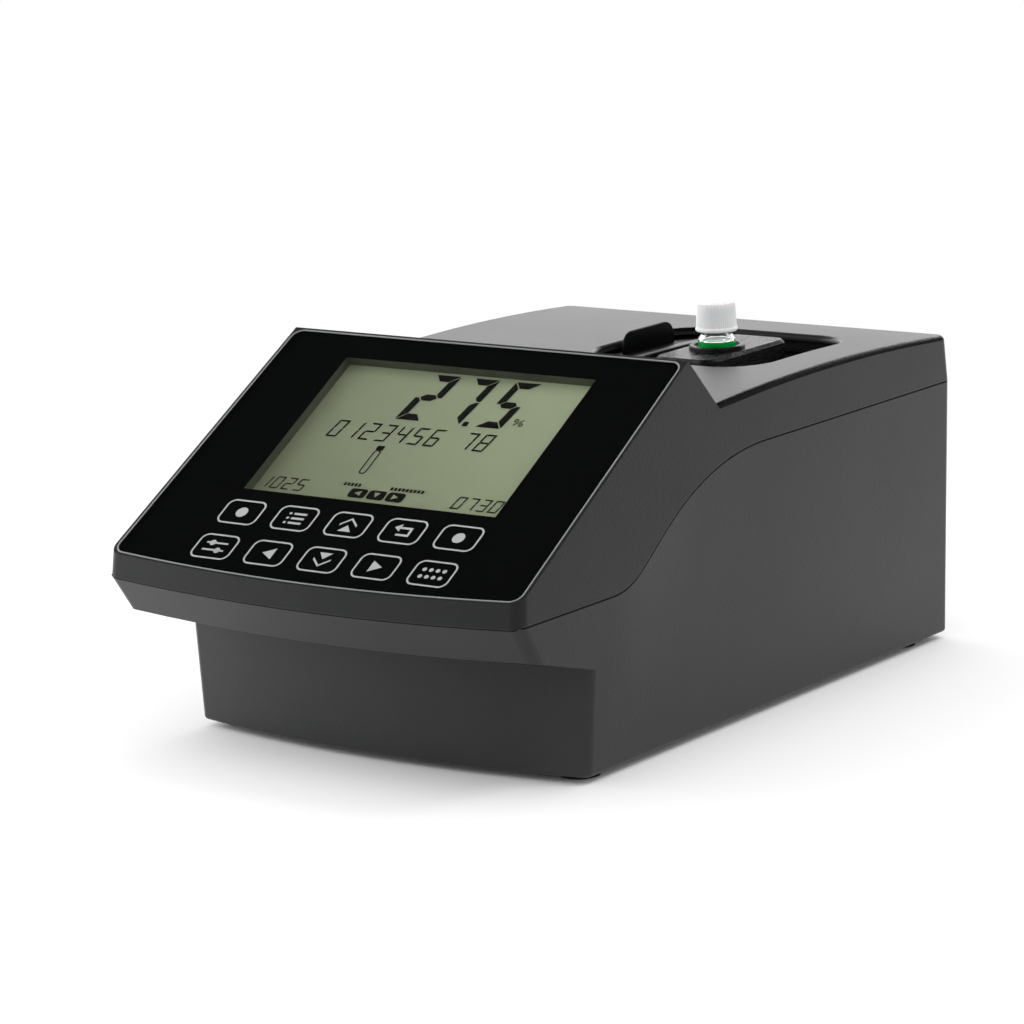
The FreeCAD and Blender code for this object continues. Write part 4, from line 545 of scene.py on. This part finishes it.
def cap_plastic(name):
    """White moulded cap that light sinks into a little."""
    material = moulded(name, (0.91, 0.91, 0.90), (0.94, 0.94, 0.93), 0.42, grain=0.0004)
    shader = material.node_tree.nodes["Principled BSDF"]
    shader.inputs["Subsurface Weight"].default_value = 0.9
    shader.inputs["Subsurface Radius"].default_value = (1.0, 0.9, 0.8)
    shader.inputs["Subsurface Scale"].default_value = 2.6 * MM
    return material


def liquid(name):
    """Green sample whose top surface is painted pale, standing in for the reflection on it."""
    material, tree, shader = blank(name)
    tint = use(tree, TINT, Colour=rgba((0.0, 0.30, 0.045)), Other_Colour=rgba((0.0, 0.36, 0.06)),
               Patch_Size=0.01)
    facing = split(tree, add(tree, "ShaderNodeNewGeometry").outputs["True Normal"])
    # Painted reflection: faces that look up get a pale grey colour
    level = ramp(tree, facing["Z"], (0.6, 0.95))
    colour = mixed(tree, "RGBA", level, tint.outputs["Colour"], rgba((0.66, 0.72, 0.69)))
    shader.inputs["Roughness"].default_value = 0.08
    shader.inputs["IOR"].default_value = 1.33
    shader.inputs["Specular IOR Level"].default_value = 0.1
    link(tree, colour, shader.inputs["Base Color"])
    return material


GREY = (0.45, 0.46, 0.47)
PALE = (0.52, 0.53, 0.54)
ACROSS_X = (1200, 60, 60)
ACROSS_Z = (200, 200, 1500)

FINISHES = {
    "cover_plastic": case_plastic,
    "shell_plastic": case_plastic,
    "panel_glass": lambda name: clear(name, (0.985, 0.995, 0.99)),
    "panel_ink": lambda name: bonded_ink(name, (0.0018, 0.0021, 0.0023), (0.0026, 0.0029, 0.0031)),
    "dark_plastic": black_plastic,
    "lid_plastic": lambda name: moulded(name, (0.0030, 0.0034, 0.0036), (0.0045, 0.0049, 0.0052), 0.42),
    "adapter_plastic": adapter_plastic,
    "display_cell": display_face,
    "light_guide": lambda name: clear(name, (0.9, 0.92, 0.9), gloss=0.1, ior=1.49),
    "circuit_board": lambda name: moulded(name, (0.01, 0.07, 0.02), (0.015, 0.10, 0.03), 0.3, grain=0.002),
    "sensor_film": lambda name: moulded(name, (0.35, 0.20, 0.03), (0.42, 0.26, 0.05), 0.3, grain=0.003),
    "vial_glass": lambda name: clear(name, (0.97, 0.99, 0.98), ior=1.47),
    "sample_liquid": liquid,
    "liner_foam": lambda name: moulded(name, (0.7, 0.7, 0.68), (0.76, 0.76, 0.74), 0.8, depth=0.0001),
    "cap_plastic": cap_plastic,
    "bench_metal": lambda name: worked_metal(name, GREY, PALE, 0.38, ACROSS_X),
    "mount_metal": lambda name: moulded(name, (0.012, 0.012, 0.013), (0.018, 0.018, 0.02), 0.4, grain=0.0002),
    "sheet_metal": lambda name: worked_metal(name, GREY, PALE, 0.34, ACROSS_Z),
    "motor_metal": lambda name: worked_metal(name, (0.35, 0.35, 0.36), GREY, 0.3, ACROSS_Z),
    "screw_steel": lambda name: worked_metal(name, GREY, (0.6, 0.6, 0.6), 0.3, ACROSS_X),
    "lamp_glass": lambda name: clear(name, (0.96, 0.96, 0.94)),
    "lamp_ceramic": lambda name: moulded(name, (0.68, 0.66, 0.60), (0.75, 0.73, 0.67), 0.7, depth=0.0001),
    "lens_glass": lambda name: clear(name, (0.98, 0.99, 1.0), ior=1.52),
    "filter_glass": lambda name: clear(name, (0.9, 0.45, 0.15)),
    "splitter_glass": lambda name: clear(name, (0.75, 0.82, 0.9)),
    "grating_mirror": lambda name: worked_metal(name, (0.7, 0.72, 0.78), (0.78, 0.76, 0.82), 0.12, ACROSS_X),
    "detector_board": lambda name: moulded(name, (0.01, 0.06, 0.02), (0.02, 0.09, 0.03), 0.3, grain=0.002),
    "chip_plastic": lambda name: moulded(name, (0.012, 0.012, 0.012), (0.018, 0.018, 0.018), 0.5),
    "socket_metal": lambda name: worked_metal(name, (0.55, 0.55, 0.56), (0.65, 0.65, 0.66), 0.25, ACROSS_X),
    "rocker_plastic": lambda name: moulded(name, (0.008, 0.008, 0.009), (0.012, 0.012, 0.013), 0.22),
    "battery_wrap": lambda name: moulded(name, (0.015, 0.05, 0.18), (0.02, 0.07, 0.22), 0.2, grain=0.004),
    "foot_rubber": lambda name: moulded(name, (0.003, 0.003, 0.003), (0.006, 0.006, 0.006), 0.8,
                                        depth=0.0001),
    "ribbon_plastic": lambda name: worked_metal(name, (0.4, 0.41, 0.43), (0.46, 0.47, 0.49), 0.5, ACROSS_X),
}


def dress_nodes():
    """Give every CAD node the finish of its slot."""
    finishes = {slot: make(slot) for slot, make in FINISHES.items()}
    for part in frame["record"]["subparts"]:
        mesh = frame["nodes"][part["node"]].data
        mesh.materials.clear()
        mesh.materials.append(finishes[part["material_slot"]])
    # Display frame in a dark grey-green: painted shade on the walls round the display window
    frame["nodes"]["display_frame"].data.materials[0] = moulded(
        "reflector_painted_shade", (0.055, 0.060, 0.040), (0.066, 0.072, 0.048), 0.5)
    # Recess tray lighter than the case plastic: painted light on the recess's rear wall
    frame["nodes"]["recess_tray"].data.materials[0] = moulded(
        "recess_painted_light", (0.030, 0.030, 0.033), (0.038, 0.038, 0.041), 0.4)
    return finishes


PANEL_UP = Vector((0, -math.sin(PANEL_TILT), math.cos(PANEL_TILT)))


def finish_mesh(mesh, name, material, body, smooth=True):
    """Turn a finished bmesh into a piece that rides on a body."""
    bmesh.ops.recalc_face_normals(mesh, faces=mesh.faces)
    data = bpy.data.meshes.new(name)
    mesh.to_mesh(data)
    mesh.free()
    data.materials.append(material)
    piece = bpy.data.objects.new(name, data)
    bpy.context.scene.collection.objects.link(piece)
    if smooth:
        data.shade_smooth()
    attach(piece, body)
    return piece


def glass_outline():
    """Corners of the top face of the panel glass, in order."""
    mesh = bmesh.new()
    mesh.from_mesh(frame["nodes"]["front_glass"].data)
    faces = {face for face in mesh.faces if face.normal.dot(PANEL_UP) > 0.999}
    rim = [edge for edge in mesh.edges if sum(face in faces for face in edge.link_faces) == 1]
    chain = [rim[0].verts[0], rim[0].verts[1]]
    while chain[-1] is not chain[0]:
        ways = [edge.other_vert(chain[-1]) for edge in rim if chain[-1] in edge.verts]
        chain.append(next(vert for vert in ways if vert is not chain[-2]))
    points = [vert.co.copy() for vert in chain[:-1]]
    mesh.free()
    return points


def glass_edge_highlight():
    """Edge of the panel glass, a fine pale line all round it whose paleness is a painted highlight."""
    points = glass_outline()
    curve = bpy.data.curves.new("glass_edge_highlight", "CURVE")
    curve.dimensions = "3D"
    curve.bevel_depth = EDGE_BEAD * MM
    curve.bevel_resolution = 3
    line = curve.splines.new("POLY")
    line.points.add(len(points) - 1)
    line.use_cyclic_u = True
    for point, place in zip(line.points, points):
        point.co = (*(place - PANEL_UP * EDGE_SINK * MM), 1)
    # Pale grey colour: painted highlight along the glass edge
    ground = moulded("painted_edge_highlight", (0.20, 0.205, 0.21), (0.26, 0.265, 0.27), 0.3, grain=0.0003)
    curve.materials.append(ground)
    piece = bpy.data.objects.new("glass_edge_highlight", curve)
    bpy.context.scene.collection.objects.link(piece)
    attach(piece, HOUSING)


def back_print(ink):
    """Black ground of the panel, printed on the back of the glass round the clear window."""
    mesh = bmesh.new()
    outer = [mesh.verts.new(point - PANEL_UP * (GLASS_THICK - GROUND_LIFT) * MM) for point in glass_outline()]
    low, high = WINDOW_RISE
    window = [(-WINDOW_HALF, low), (WINDOW_HALF, low), (WINDOW_HALF, high), (-WINDOW_HALF, high)]
    inner = [mesh.verts.new(on_panel(x, s, GLASS_THICK - GROUND_LIFT)) for x, s in window]
    for loop in (outer, inner):
        for i, vert in enumerate(loop):
            mesh.edges.new((vert, loop[(i + 1) % len(loop)]))
    bmesh.ops.triangle_fill(mesh, edges=mesh.edges[:], use_beauty=True, normal=PANEL_UP)
    piece = finish_mesh(mesh, "back_print", ink, HOUSING, smooth=False)
    coat = piece.modifiers.new("coat", "SOLIDIFY")
    coat.thickness = INK_THICK * MM
    coat.offset = 0


# Lid of the sample place, and the liquid in the vial

def lid_plate(material):
    """Arched plate of the sliding lid, without its fin."""
    mesh = bmesh.new()
    mesh.from_mesh(frame["nodes"]["sample_lid"].data)
    above = [vert for vert in mesh.verts if vert.co.z > LID_FIN_FROM * MM]
    bmesh.ops.delete(mesh, geom=above, context="VERTS")
    bmesh.ops.holes_fill(mesh, edges=[edge for edge in mesh.edges if edge.is_boundary], sides=0)
    bmesh.ops.triangulate(mesh, faces=[face for face in mesh.faces if len(face.verts) > 4])
    piece = finish_mesh(mesh, "lid_plate", material, "lid", smooth=False)
    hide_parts("sample_lid")


def lid_fin(material):
    """Upright finger fin with rounded shoulders and softened edges."""
    front, rear = FIN_RUN
    low, high = FIN_HEIGHT
    outline = [(front, low)]
    for middle, radius, start in ((front + FIN_FRONT_ROUND, FIN_FRONT_ROUND, math.pi),
                                  (rear - FIN_REAR_ROUND, FIN_REAR_ROUND, math.pi / 2)):
        for i in range(FIN_STEPS + 1):
            angle = start - math.pi / 2 * i / FIN_STEPS
            outline.append((middle + radius * math.cos(angle), high - radius + radius * math.sin(angle)))
    outline.append((rear, low))
    mesh = bmesh.new()
    sides = [[mesh.verts.new(Vector((x, y, z)) * MM) for y, z in outline] for x in FIN_SIDES]
    mesh.faces.new(sides[0])
    mesh.faces.new(list(reversed(sides[1])))
    for i in range(len(outline)):
        j = (i + 1) % len(outline)
        mesh.faces.new([sides[0][i], sides[0][j], sides[1][j], sides[1][i]])
    piece = finish_mesh(mesh, "lid_fin", material, "lid")
    rounding = piece.modifiers.new("rounding", "BEVEL")
    rounding.width = FIN_ROUND * MM
    rounding.segments = 3
    rounding.limit_method = "ANGLE"
    rounding.angle_limit = FIN_SHARP


def lid_lip(material):
    """Rolled strip along the leading edge of the lid, following its arch."""
    edge_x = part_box("sample_lid")[1].x
    source = frame["nodes"]["sample_lid"].data
    line = {}
    for vert in source.vertices:
        if abs(vert.co.x - edge_x) < 0.02 * MM:
            place = round(vert.co.y / MM, 2)
            line[place] = max(line.get(place, 0), vert.co.z)
    stations = sorted(line)
    mesh = bmesh.new()
    rows = []
    for y in stations:
        row = []
        for i in range(LIP_STEPS + 1):
            angle = math.pi * i / LIP_STEPS
            x = edge_x - LIP_WIDTH / 2 * MM * (1 - math.cos(angle))
            row.append(mesh.verts.new((x, y * MM, line[y] + LIP_HEIGHT * MM * math.sin(angle))))
        rows.append(row)
    for one, other in zip(rows, rows[1:]):
        for i in range(LIP_STEPS):
            mesh.faces.new([one[i], one[i + 1], other[i + 1], other[i]])
    for row, flip in ((rows[0], False), (rows[-1], True)):
        mesh.faces.new(list(reversed(row)) if flip else row)
    for one, other in zip(rows, rows[1:]):
        mesh.faces.new([one[0], other[0], other[-1], one[-1]])
    finish_mesh(mesh, "lid_lip", material, "lid")


def sample_fill(material):
    """Green liquid that wets the wall of the vial, with a dished surface."""
    low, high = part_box("sample_liquid")
    middle = (low + high) / 2
    radius = (high.x - low.x) / 2 + WETTING * MM
    base = low.z
    level = high.z
    profile = [(0, base), (radius * 0.7, base + VIAL_FLOOR * MM), (radius, base + VIAL_HEEL * MM),
               (radius, level - MM), (radius, level)]
    profile += [(radius * share, level - drop * MM) for share, drop in DISH]
    mesh = bmesh.new()
    verts = [mesh.verts.new((middle.x + r, middle.y, z)) for r, z in profile]
    edges = [mesh.edges.new(pair) for pair in zip(verts, verts[1:])]
    bmesh.ops.spin(mesh, geom=verts + edges, cent=(middle.x, middle.y, 0), axis=(0, 0, 1), angle=2 * math.pi,
                   steps=48, use_duplicate=False)
    bmesh.ops.remove_doubles(mesh, verts=mesh.verts, dist=0.001 * MM)
    piece = finish_mesh(mesh, "sample_fill", material, "vial")
    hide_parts("sample_liquid")


def make_sample_place(finishes):
    """Lid with its fin and lip, and the liquid in the vial."""
    lid = finishes["lid_plastic"]
    lid_plate(lid)
    # Fin colour darker than the lid plate it is moulded with: painted shade
    fin = moulded("fin_painted_shade", (0.0016, 0.0019, 0.0020), (0.0022, 0.0025, 0.0026), 0.45)
    fin.node_tree.nodes["Principled BSDF"].inputs["Specular IOR Level"].default_value = 0.15
    lid_fin(fin)
    # The lip is lighter grey than the lid: painted highlight along its rounded edge
    lid_lip(moulded("lip_painted_highlight", (0.030, 0.030, 0.033), (0.040, 0.040, 0.043), 0.3, grain=0.0003))
    sample_fill(finishes["sample_liquid"])


# Flat shapes of the print and the display, in panel millimetres

def rounded_outline(x, s, width, height, radius):
    """Corner-rounded rectangle about a centre."""
    points = []
    for turn, (side, end) in enumerate([(1, 1), (-1, 1), (-1, -1), (1, -1)]):
        cx = x + side * (width / 2 - radius)
        cs = s + end * (height / 2 - radius)
        for i in range(CORNER_STEPS + 1):
            angle = math.pi / 2 * (turn + i / CORNER_STEPS)
            points.append((cx + radius * math.cos(angle), cs + radius * math.sin(angle)))
    return points


def circle(x, s, radius, steps=32):
    """Circle outline."""
    return [(x + radius * math.cos(2 * math.pi * i / steps), s + radius * math.sin(2 * math.pi * i / steps))
            for i in range(steps)]


def stroke(a, b, width):
    """Outline of a straight bar between two points."""
    ax, ay = a
    bx, by = b
    length = math.hypot(bx - ax, by - ay)
    px, py = (ay - by) / length * width / 2, (bx - ax) / length * width / 2
    return [(ax + px, ay + py), (ax - px, ay - py), (bx - px, by - py), (bx + px, by + py)]


class Flat:
    """A thin piece drawn on a plane of the panel, made of filled outlines and rings."""

    def __init__(self, depth):
        self.mesh = bmesh.new()
        self.low = depth
        self.top = depth - INK_THICK

    def loop(self, points, depth):
        """Vertices of one outline at a depth."""
        return [self.mesh.verts.new(on_panel(x, s, depth)) for x, s in points]

    def fill(self, points):
        """A filled outline, as a thin slab."""
        top = self.loop(points, self.top)
        low = self.loop(points, self.low)
        self.mesh.faces.new(top)
        self.mesh.faces.new(list(reversed(low)))
        self.walls(top, low)

    def walls(self, top, low):
        """Side faces between two loops."""
        for i in range(len(top)):
            j = (i + 1) % len(top)
            self.mesh.faces.new([top[j], top[i], low[i], low[j]])

    def ring(self, outer, inner):
        """A slab between two outlines with the same number of points."""
        loops = [self.loop(points, depth) for points in (outer, inner) for depth in (self.top, self.low)]
        outer_top, outer_low, inner_top, inner_low = loops
        for a, b in ((outer_top, inner_top), (inner_low, outer_low), (outer_low, outer_top),
                     (inner_top, inner_low)):
            for i in range(len(a)):
                j = (i + 1) % len(a)
                self.mesh.faces.new([a[i], a[j], b[j], b[i]])

    def piece(self, name, material, slot):
        """Finish the drawing as a piece that rides on the housing."""
        finish_mesh(self.mesh, name, material, HOUSING, smooth=False)


def key_outlines(ink):
    """Rounded outline of each key."""
    flat = Flat(GLASS_THICK - INK_LIFT)
    for s in KEY_ROWS:
        for x in KEY_COLUMNS:
            inner = 2 * KEY_STROKE
            flat.ring(rounded_outline(x, s, KEY_WIDTH, KEY_HEIGHT, KEY_CORNER),
                      rounded_outline(x, s, KEY_WIDTH - inner, KEY_HEIGHT - inner, KEY_CORNER - KEY_STROKE))
    flat.piece("key_outlines", ink, "panel_ink")


def chevron(flat, x, s, rise):
    """An open arrow head pointing up, or down with a negative rise."""
    half = CHEVRON_WIDTH / 2
    drop = math.copysign(SYMBOL_STROKE, rise)
    flat.fill([(x, s + rise), (x + half, s), (x + half, s - drop), (x, s + rise - drop), (x - half, s - drop),
               (x - half, s)])


def triangle(flat, x, s, width, height, turn):
    """A filled triangle about a centre, pointing along a turn in quarter circles from right."""
    angle = turn * math.pi / 2
    corners = [(height / 2, 0), (-height / 2, width / 2), (-height / 2, -width / 2)]
    flat.fill([(x + a * math.cos(angle) - b * math.sin(angle), s + a * math.sin(angle) + b * math.cos(angle))
               for a, b in corners])


def list_symbol(flat, x, s):
    """Three rows, each a short dash before a long one."""
    for i in (-1, 0, 1):
        row = s + LIST_PITCH * i
        for left, right in LIST_DASHES:
            flat.fill(stroke((x + left, row), (x + right, row), SYMBOL_STROKE))


def return_symbol(flat, x, s):
    """A line that turns back on itself, with an arrow head."""
    for a, b in RETURN_LINES:
        flat.fill(stroke((x + a[0], s + a[1]), (x + b[0], s + b[1]), SYMBOL_STROKE))
    triangle(flat, x + RETURN_HEAD[0], s + RETURN_HEAD[1], 4.2, 3.0, 2)


def slider_symbol(flat, x, s):
    """Two lines, each with a round knob."""
    for side, rise in SLIDER_KNOBS:
        flat.fill(stroke((x - SLIDER_HALF, s + rise), (x + SLIDER_HALF, s + rise), SLIDER_STROKE))
        flat.fill(circle(x + side, s + rise, KNOB_RADIUS))


def grid_symbol(flat, x, s):
    """Two rows of four dots."""
    for i in range(4):
        for j in (-1, 1):
            flat.fill(circle(x + (i - 1.5) * GRID_PITCH, s + GRID_HALF * j, GRID_DOT))


def key_symbols(ink):
    """Plain symbols on the keys: dots, arrows, a list, a return arrow, sliders and a grid of dots."""
    flat = Flat(GLASS_THICK - INK_LIFT)
    high, low = KEY_ROWS
    first, second, third, fourth, fifth = KEY_COLUMNS
    for x in (first, fifth):
        flat.fill(circle(x, high, DOT / 2))
    chevron(flat, third, high + 0.3, CHEVRON_RISE)
    triangle(flat, third, high - 2.0, *SMALL_ARROW, 1)
    triangle(flat, third, low + 2.2, *SMALL_ARROW, 3)
    chevron(flat, third, low - 0.2, -CHEVRON_RISE)
    triangle(flat, second, low, *LARGE_ARROW, 2)
    triangle(flat, fourth, low, *LARGE_ARROW, 0)
    list_symbol(flat, second, high)
    return_symbol(flat, fourth, high)
    slider_symbol(flat, first, low)
    grid_symbol(flat, fifth, low)
    flat.piece("key_symbols", ink, "panel_ink")


# Which of the seven bars make each digit, from a to g: top, upper right, lower right, bottom, lower left,
# upper left, middle
DIGIT_BARS = {
    "0": "abcdef", "1": "bc", "2": "abged", "3": "abgcd", "4": "fgbc",
    "5": "afgcd", "6": "afgedc", "7": "abc",
    "8": "abcdefg", "9": "abcdfg", " ": "",
}


def digit_bars(width, height, thick):
    """Outlines of the seven bars, mitred where they meet."""
    gap = thick * BAR_GAP
    half = height / 2
    mid = thick / 2
    top = [(gap, height), (width - gap, height), (width - thick - gap, height - thick),
           (thick + gap, height - thick)]
    right = [(width, height - gap), (width, half + gap), (width - mid, half + gap),
             (width - thick, half + mid + gap), (width - thick, height - thick - gap)]
    middle = [(mid + gap, half), (thick + gap, half + mid), (width - thick - gap, half + mid),
              (width - mid - gap, half), (width - thick - gap, half - mid), (thick + gap, half - mid)]
    bars = {"a": top, "b": right, "g": middle}
    bars["c"], bars["d"] = [[(x, height - y) for x, y in reversed(bars[bar])] for bar in "ba"]
    bars["e"], bars["f"] = [[(width - x, y) for x, y in reversed(bars[bar])] for bar in "cb"]
    return bars


def digit(flat, text, x, s, width, height, thick, slant):
    """One slanted seven-bar digit with its left foot at a place."""
    bars = digit_bars(width, height, thick)
    for bar in DIGIT_BARS[text]:
        flat.fill([(x + px + slant * py, s + py) for px, py in bars[bar]])


def display_picture(ink):
    """Figures of the display: a reading, a row and two corners."""
    flat = Flat(DISPLAY_DEPTH - INK_LIFT)
    for text, left in zip(BIG_DIGITS, BIG_LEFTS):
        digit(flat, text, left, BIG_LOW, BIG_WIDTH, BIG_HEIGHT, BIG_STROKE, BIG_SLANT)
    flat.fill(rounded_outline(POINT_LEFT, BIG_LOW + POINT_RISE, POINT_SIZE, POINT_SIZE, 0.4))
    for i, text in enumerate(ROW_TEXT):
        digit(flat, text, ROW_LEFT + ROW_PITCH * i, ROW_LOW, ROW_WIDTH, ROW_HEIGHT, ROW_STROKE, ROW_SLANT)
    for text, left in CORNER_TEXTS:
        for i, figure in enumerate(text):
            digit(flat, figure, left + CORNER_PITCH * i, CORNER_LOW, CORNER_WIDTH, CORNER_HEIGHT,
                  CORNER_STROKE, ROW_SLANT)
    flat.piece("display_picture", ink, "display_cell")


def display_icons(ink, ground):
    """Small marks of the display: a ratio sign, a test tube, two rows of ticks and three arrow boxes."""
    flat = Flat(DISPLAY_DEPTH - INK_LIFT)
    for x, s in RATIO_DOTS:
        flat.ring(circle(x, s, RATIO_DOT, 20), circle(x, s, RATIO_HOLE, 20))
    flat.fill(stroke(*RATIO_BAR, 0.5))
    x, s = TUBE_PLACE
    width, length = TUBE_SIZE
    inner = 2 * TUBE_WALL
    flat.fill(rounded_outline(x, s + STOPPER_RISE, width, STOPPER_HEIGHT, 0.3))
    flat.ring(rounded_outline(x, s, width, length, TUBE_ROUND),
              rounded_outline(x, s, width - inner, length - inner, TUBE_ROUND - TUBE_WALL))
    for left, count, pitch, run in TICK_ROWS:
        for i in range(count):
            start = left + pitch * i
            flat.fill(stroke((start, TICK_LEVEL), (start + run, TICK_LEVEL), TICK_HEIGHT))
    arrows = Flat(DISPLAY_DEPTH - 2 * INK_LIFT)
    for i, (width, height, turn) in enumerate(ARROW_HEADS):
        x = ARROW_LEFT + ARROW_PITCH * i
        flat.fill(rounded_outline(x, ARROW_MIDDLE, *ARROW_BOX))
        triangle(arrows, x, ARROW_MIDDLE, width, height, turn)
    flat.piece("display_icons", ink, "display_cell")
    arrows.piece("display_arrows", ground, "display_cell")


def make_print():
    """All printed and displayed marks."""
    pale = bonded_ink("key_ink", (0.55, 0.56, 0.56), (0.60, 0.61, 0.61))
    dark = bonded_ink("display_ink", (0.006, 0.007, 0.006), (0.009, 0.010, 0.008))
    back_print(bonded_ink("ground_ink", (0.0018, 0.0021, 0.0023), (0.0026, 0.0029, 0.0031)))
    key_outlines(pale)
    key_symbols(pale)
    display_picture(dark)
    display_icons(dark, display_face("display_ground"))


# Floor, lamps and background

def side_level(tree, leftward, span, levels):
    """Brightness that rises from the dim side of the surroundings to the bright one."""
    return ramp(tree, leftward, span, *levels, kind="SMOOTHSTEP")


def contact_shadow_glow(tree, place):
    """Glow of the floor, none under the case and full a little way out from it, leaving a painted contact
    shadow round the case.
    """
    low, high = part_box("lower_shell")
    middle = (low.y + high.y + NOSE_REACH) / 2
    half = (high.y - low.y - NOSE_REACH) / 2
    axes = split(tree, place)
    beside = calc(tree, "SUBTRACT", calc(tree, "ABSOLUTE", axes["X"]), FOOTPRINT_HALF)
    run = calc(tree, "ABSOLUTE", calc(tree, "SUBTRACT", axes["Y"], middle))
    gap = calc(tree, "MAXIMUM", beside, calc(tree, "SUBTRACT", run, half))
    return ramp(tree, gap, FOOTPRINT_FADE, high=FLOOR_GLOW, kind="SMOOTHSTEP")


def make_floor():
    """Pale floor that runs out to white. Near the case it glows a little, painted light that lightens the
    case's shadow on it, and in what it lights and reflects its glow is painted brighter towards the left.
    """
    bpy.ops.mesh.primitive_plane_add(size=FLOOR_SIZE, location=(0, 0, 0))
    floor = bpy.context.object
    floor.name = "floor"
    material, tree, shader = blank("floor_paper")
    shader.inputs["Base Color"].default_value = (0.92, 0.92, 0.92, 1)
    shader.inputs["Roughness"].default_value = 0.9
    shader.inputs["Specular IOR Level"].default_value = 0.0
    place = object_place(tree)
    away = add(tree, "ShaderNodeVectorMath", operation="LENGTH")
    link(tree, place, away.inputs[0])
    fade = ramp(tree, away.outputs["Value"], FLOOR_FADE, low=contact_shadow_glow(tree, place), kind="SMOOTHSTEP")
    # Painted light: in reflections and bounce light the floor glows brighter towards the left
    leftward = along(tree, place, Vector(FLOOR_SIDE) / FLOOR_REACH)
    mirrored = side_level(tree, leftward, FLOOR_RANGE, FLOOR_MIRROR)
    path = add(tree, "ShaderNodeLightPath")
    glow = add(tree, "ShaderNodeEmission")
    link(tree, mixed(tree, "FLOAT", path.outputs["Is Camera Ray"], mirrored, 1.0), glow.inputs["Strength"])
    blend = add(tree, "ShaderNodeMixShader")
    link(tree, fade, blend.inputs["Fac"])
    link(tree, shader.outputs["BSDF"], blend.inputs[1])
    link(tree, glow.outputs["Emission"], blend.inputs[2])
    link(tree, blend.outputs["Shader"], tree.nodes["Material Output"].inputs["Surface"])
    floor.data.materials.append(material)


def make_lamp(name, place, size, power):
    """One soft square lamp, kept out of the reflections."""
    data = bpy.data.lights.new(name, "AREA")
    data.shape = "SQUARE"
    data.size = size
    data.energy = power
    lamp = bpy.data.objects.new(name, data)
    lamp.location = place
    lamp.rotation_euler = (Vector(place) - Vector(LAMP_AIM)).to_track_quat("Z", "Y").to_euler()
    lamp.visible_glossy = False
    bpy.context.scene.collection.objects.link(lamp)


def make_world():
    """Soft surroundings, brighter on the left: a pale horizon under a dark ceiling, white to the camera."""
    world = bpy.data.worlds.new("surroundings")
    bpy.context.scene.world = world
    world.use_nodes = True
    tree = world.node_tree
    place = add(tree, "ShaderNodeTexCoord").outputs["Generated"]
    height = split(tree, place)["Z"]
    leftward = along(tree, place, Vector(LIGHT_SIDE).normalized())
    soft = side_level(tree, leftward, SOFT_RANGE, SOFT_LEVELS)
    mirrored = side_level(tree, leftward, MIRROR_RANGE, MIRROR_LEVELS)
    rise = ramp(tree, height, RISE_SPAN, low=1.0, high=RISE_GAIN)
    ceiling = ramp(tree, height, CEILING_SPAN, low=1.0, high=CEILING_LEVEL, kind="SMOOTHSTEP")
    dimmed = calc(tree, "MULTIPLY", calc(tree, "MULTIPLY", mirrored, rise), ceiling)
    path = add(tree, "ShaderNodeLightPath")
    scattered = calc(tree, "GREATER_THAN", path.outputs["Diffuse Depth"], 0.5)
    level = mixed(tree, "FLOAT", scattered, dimmed, soft)
    background = tree.nodes["Background"]
    link(tree, mixed(tree, "FLOAT", path.outputs["Is Camera Ray"], level, 1.0), background.inputs["Strength"])
    background.inputs["Color"].default_value = (1, 1, 1, 1)


def make_light():
    """Soft lamps round the object."""
    for lamp in LAMPS:
        make_lamp(*lamp)


make_camera()
finishes = dress_nodes()
glass_edge_highlight()
make_sample_place(finishes)
make_print()
make_floor()
make_world()
make_light()
bpy.context.scene.view_settings.view_transform = "Standard"
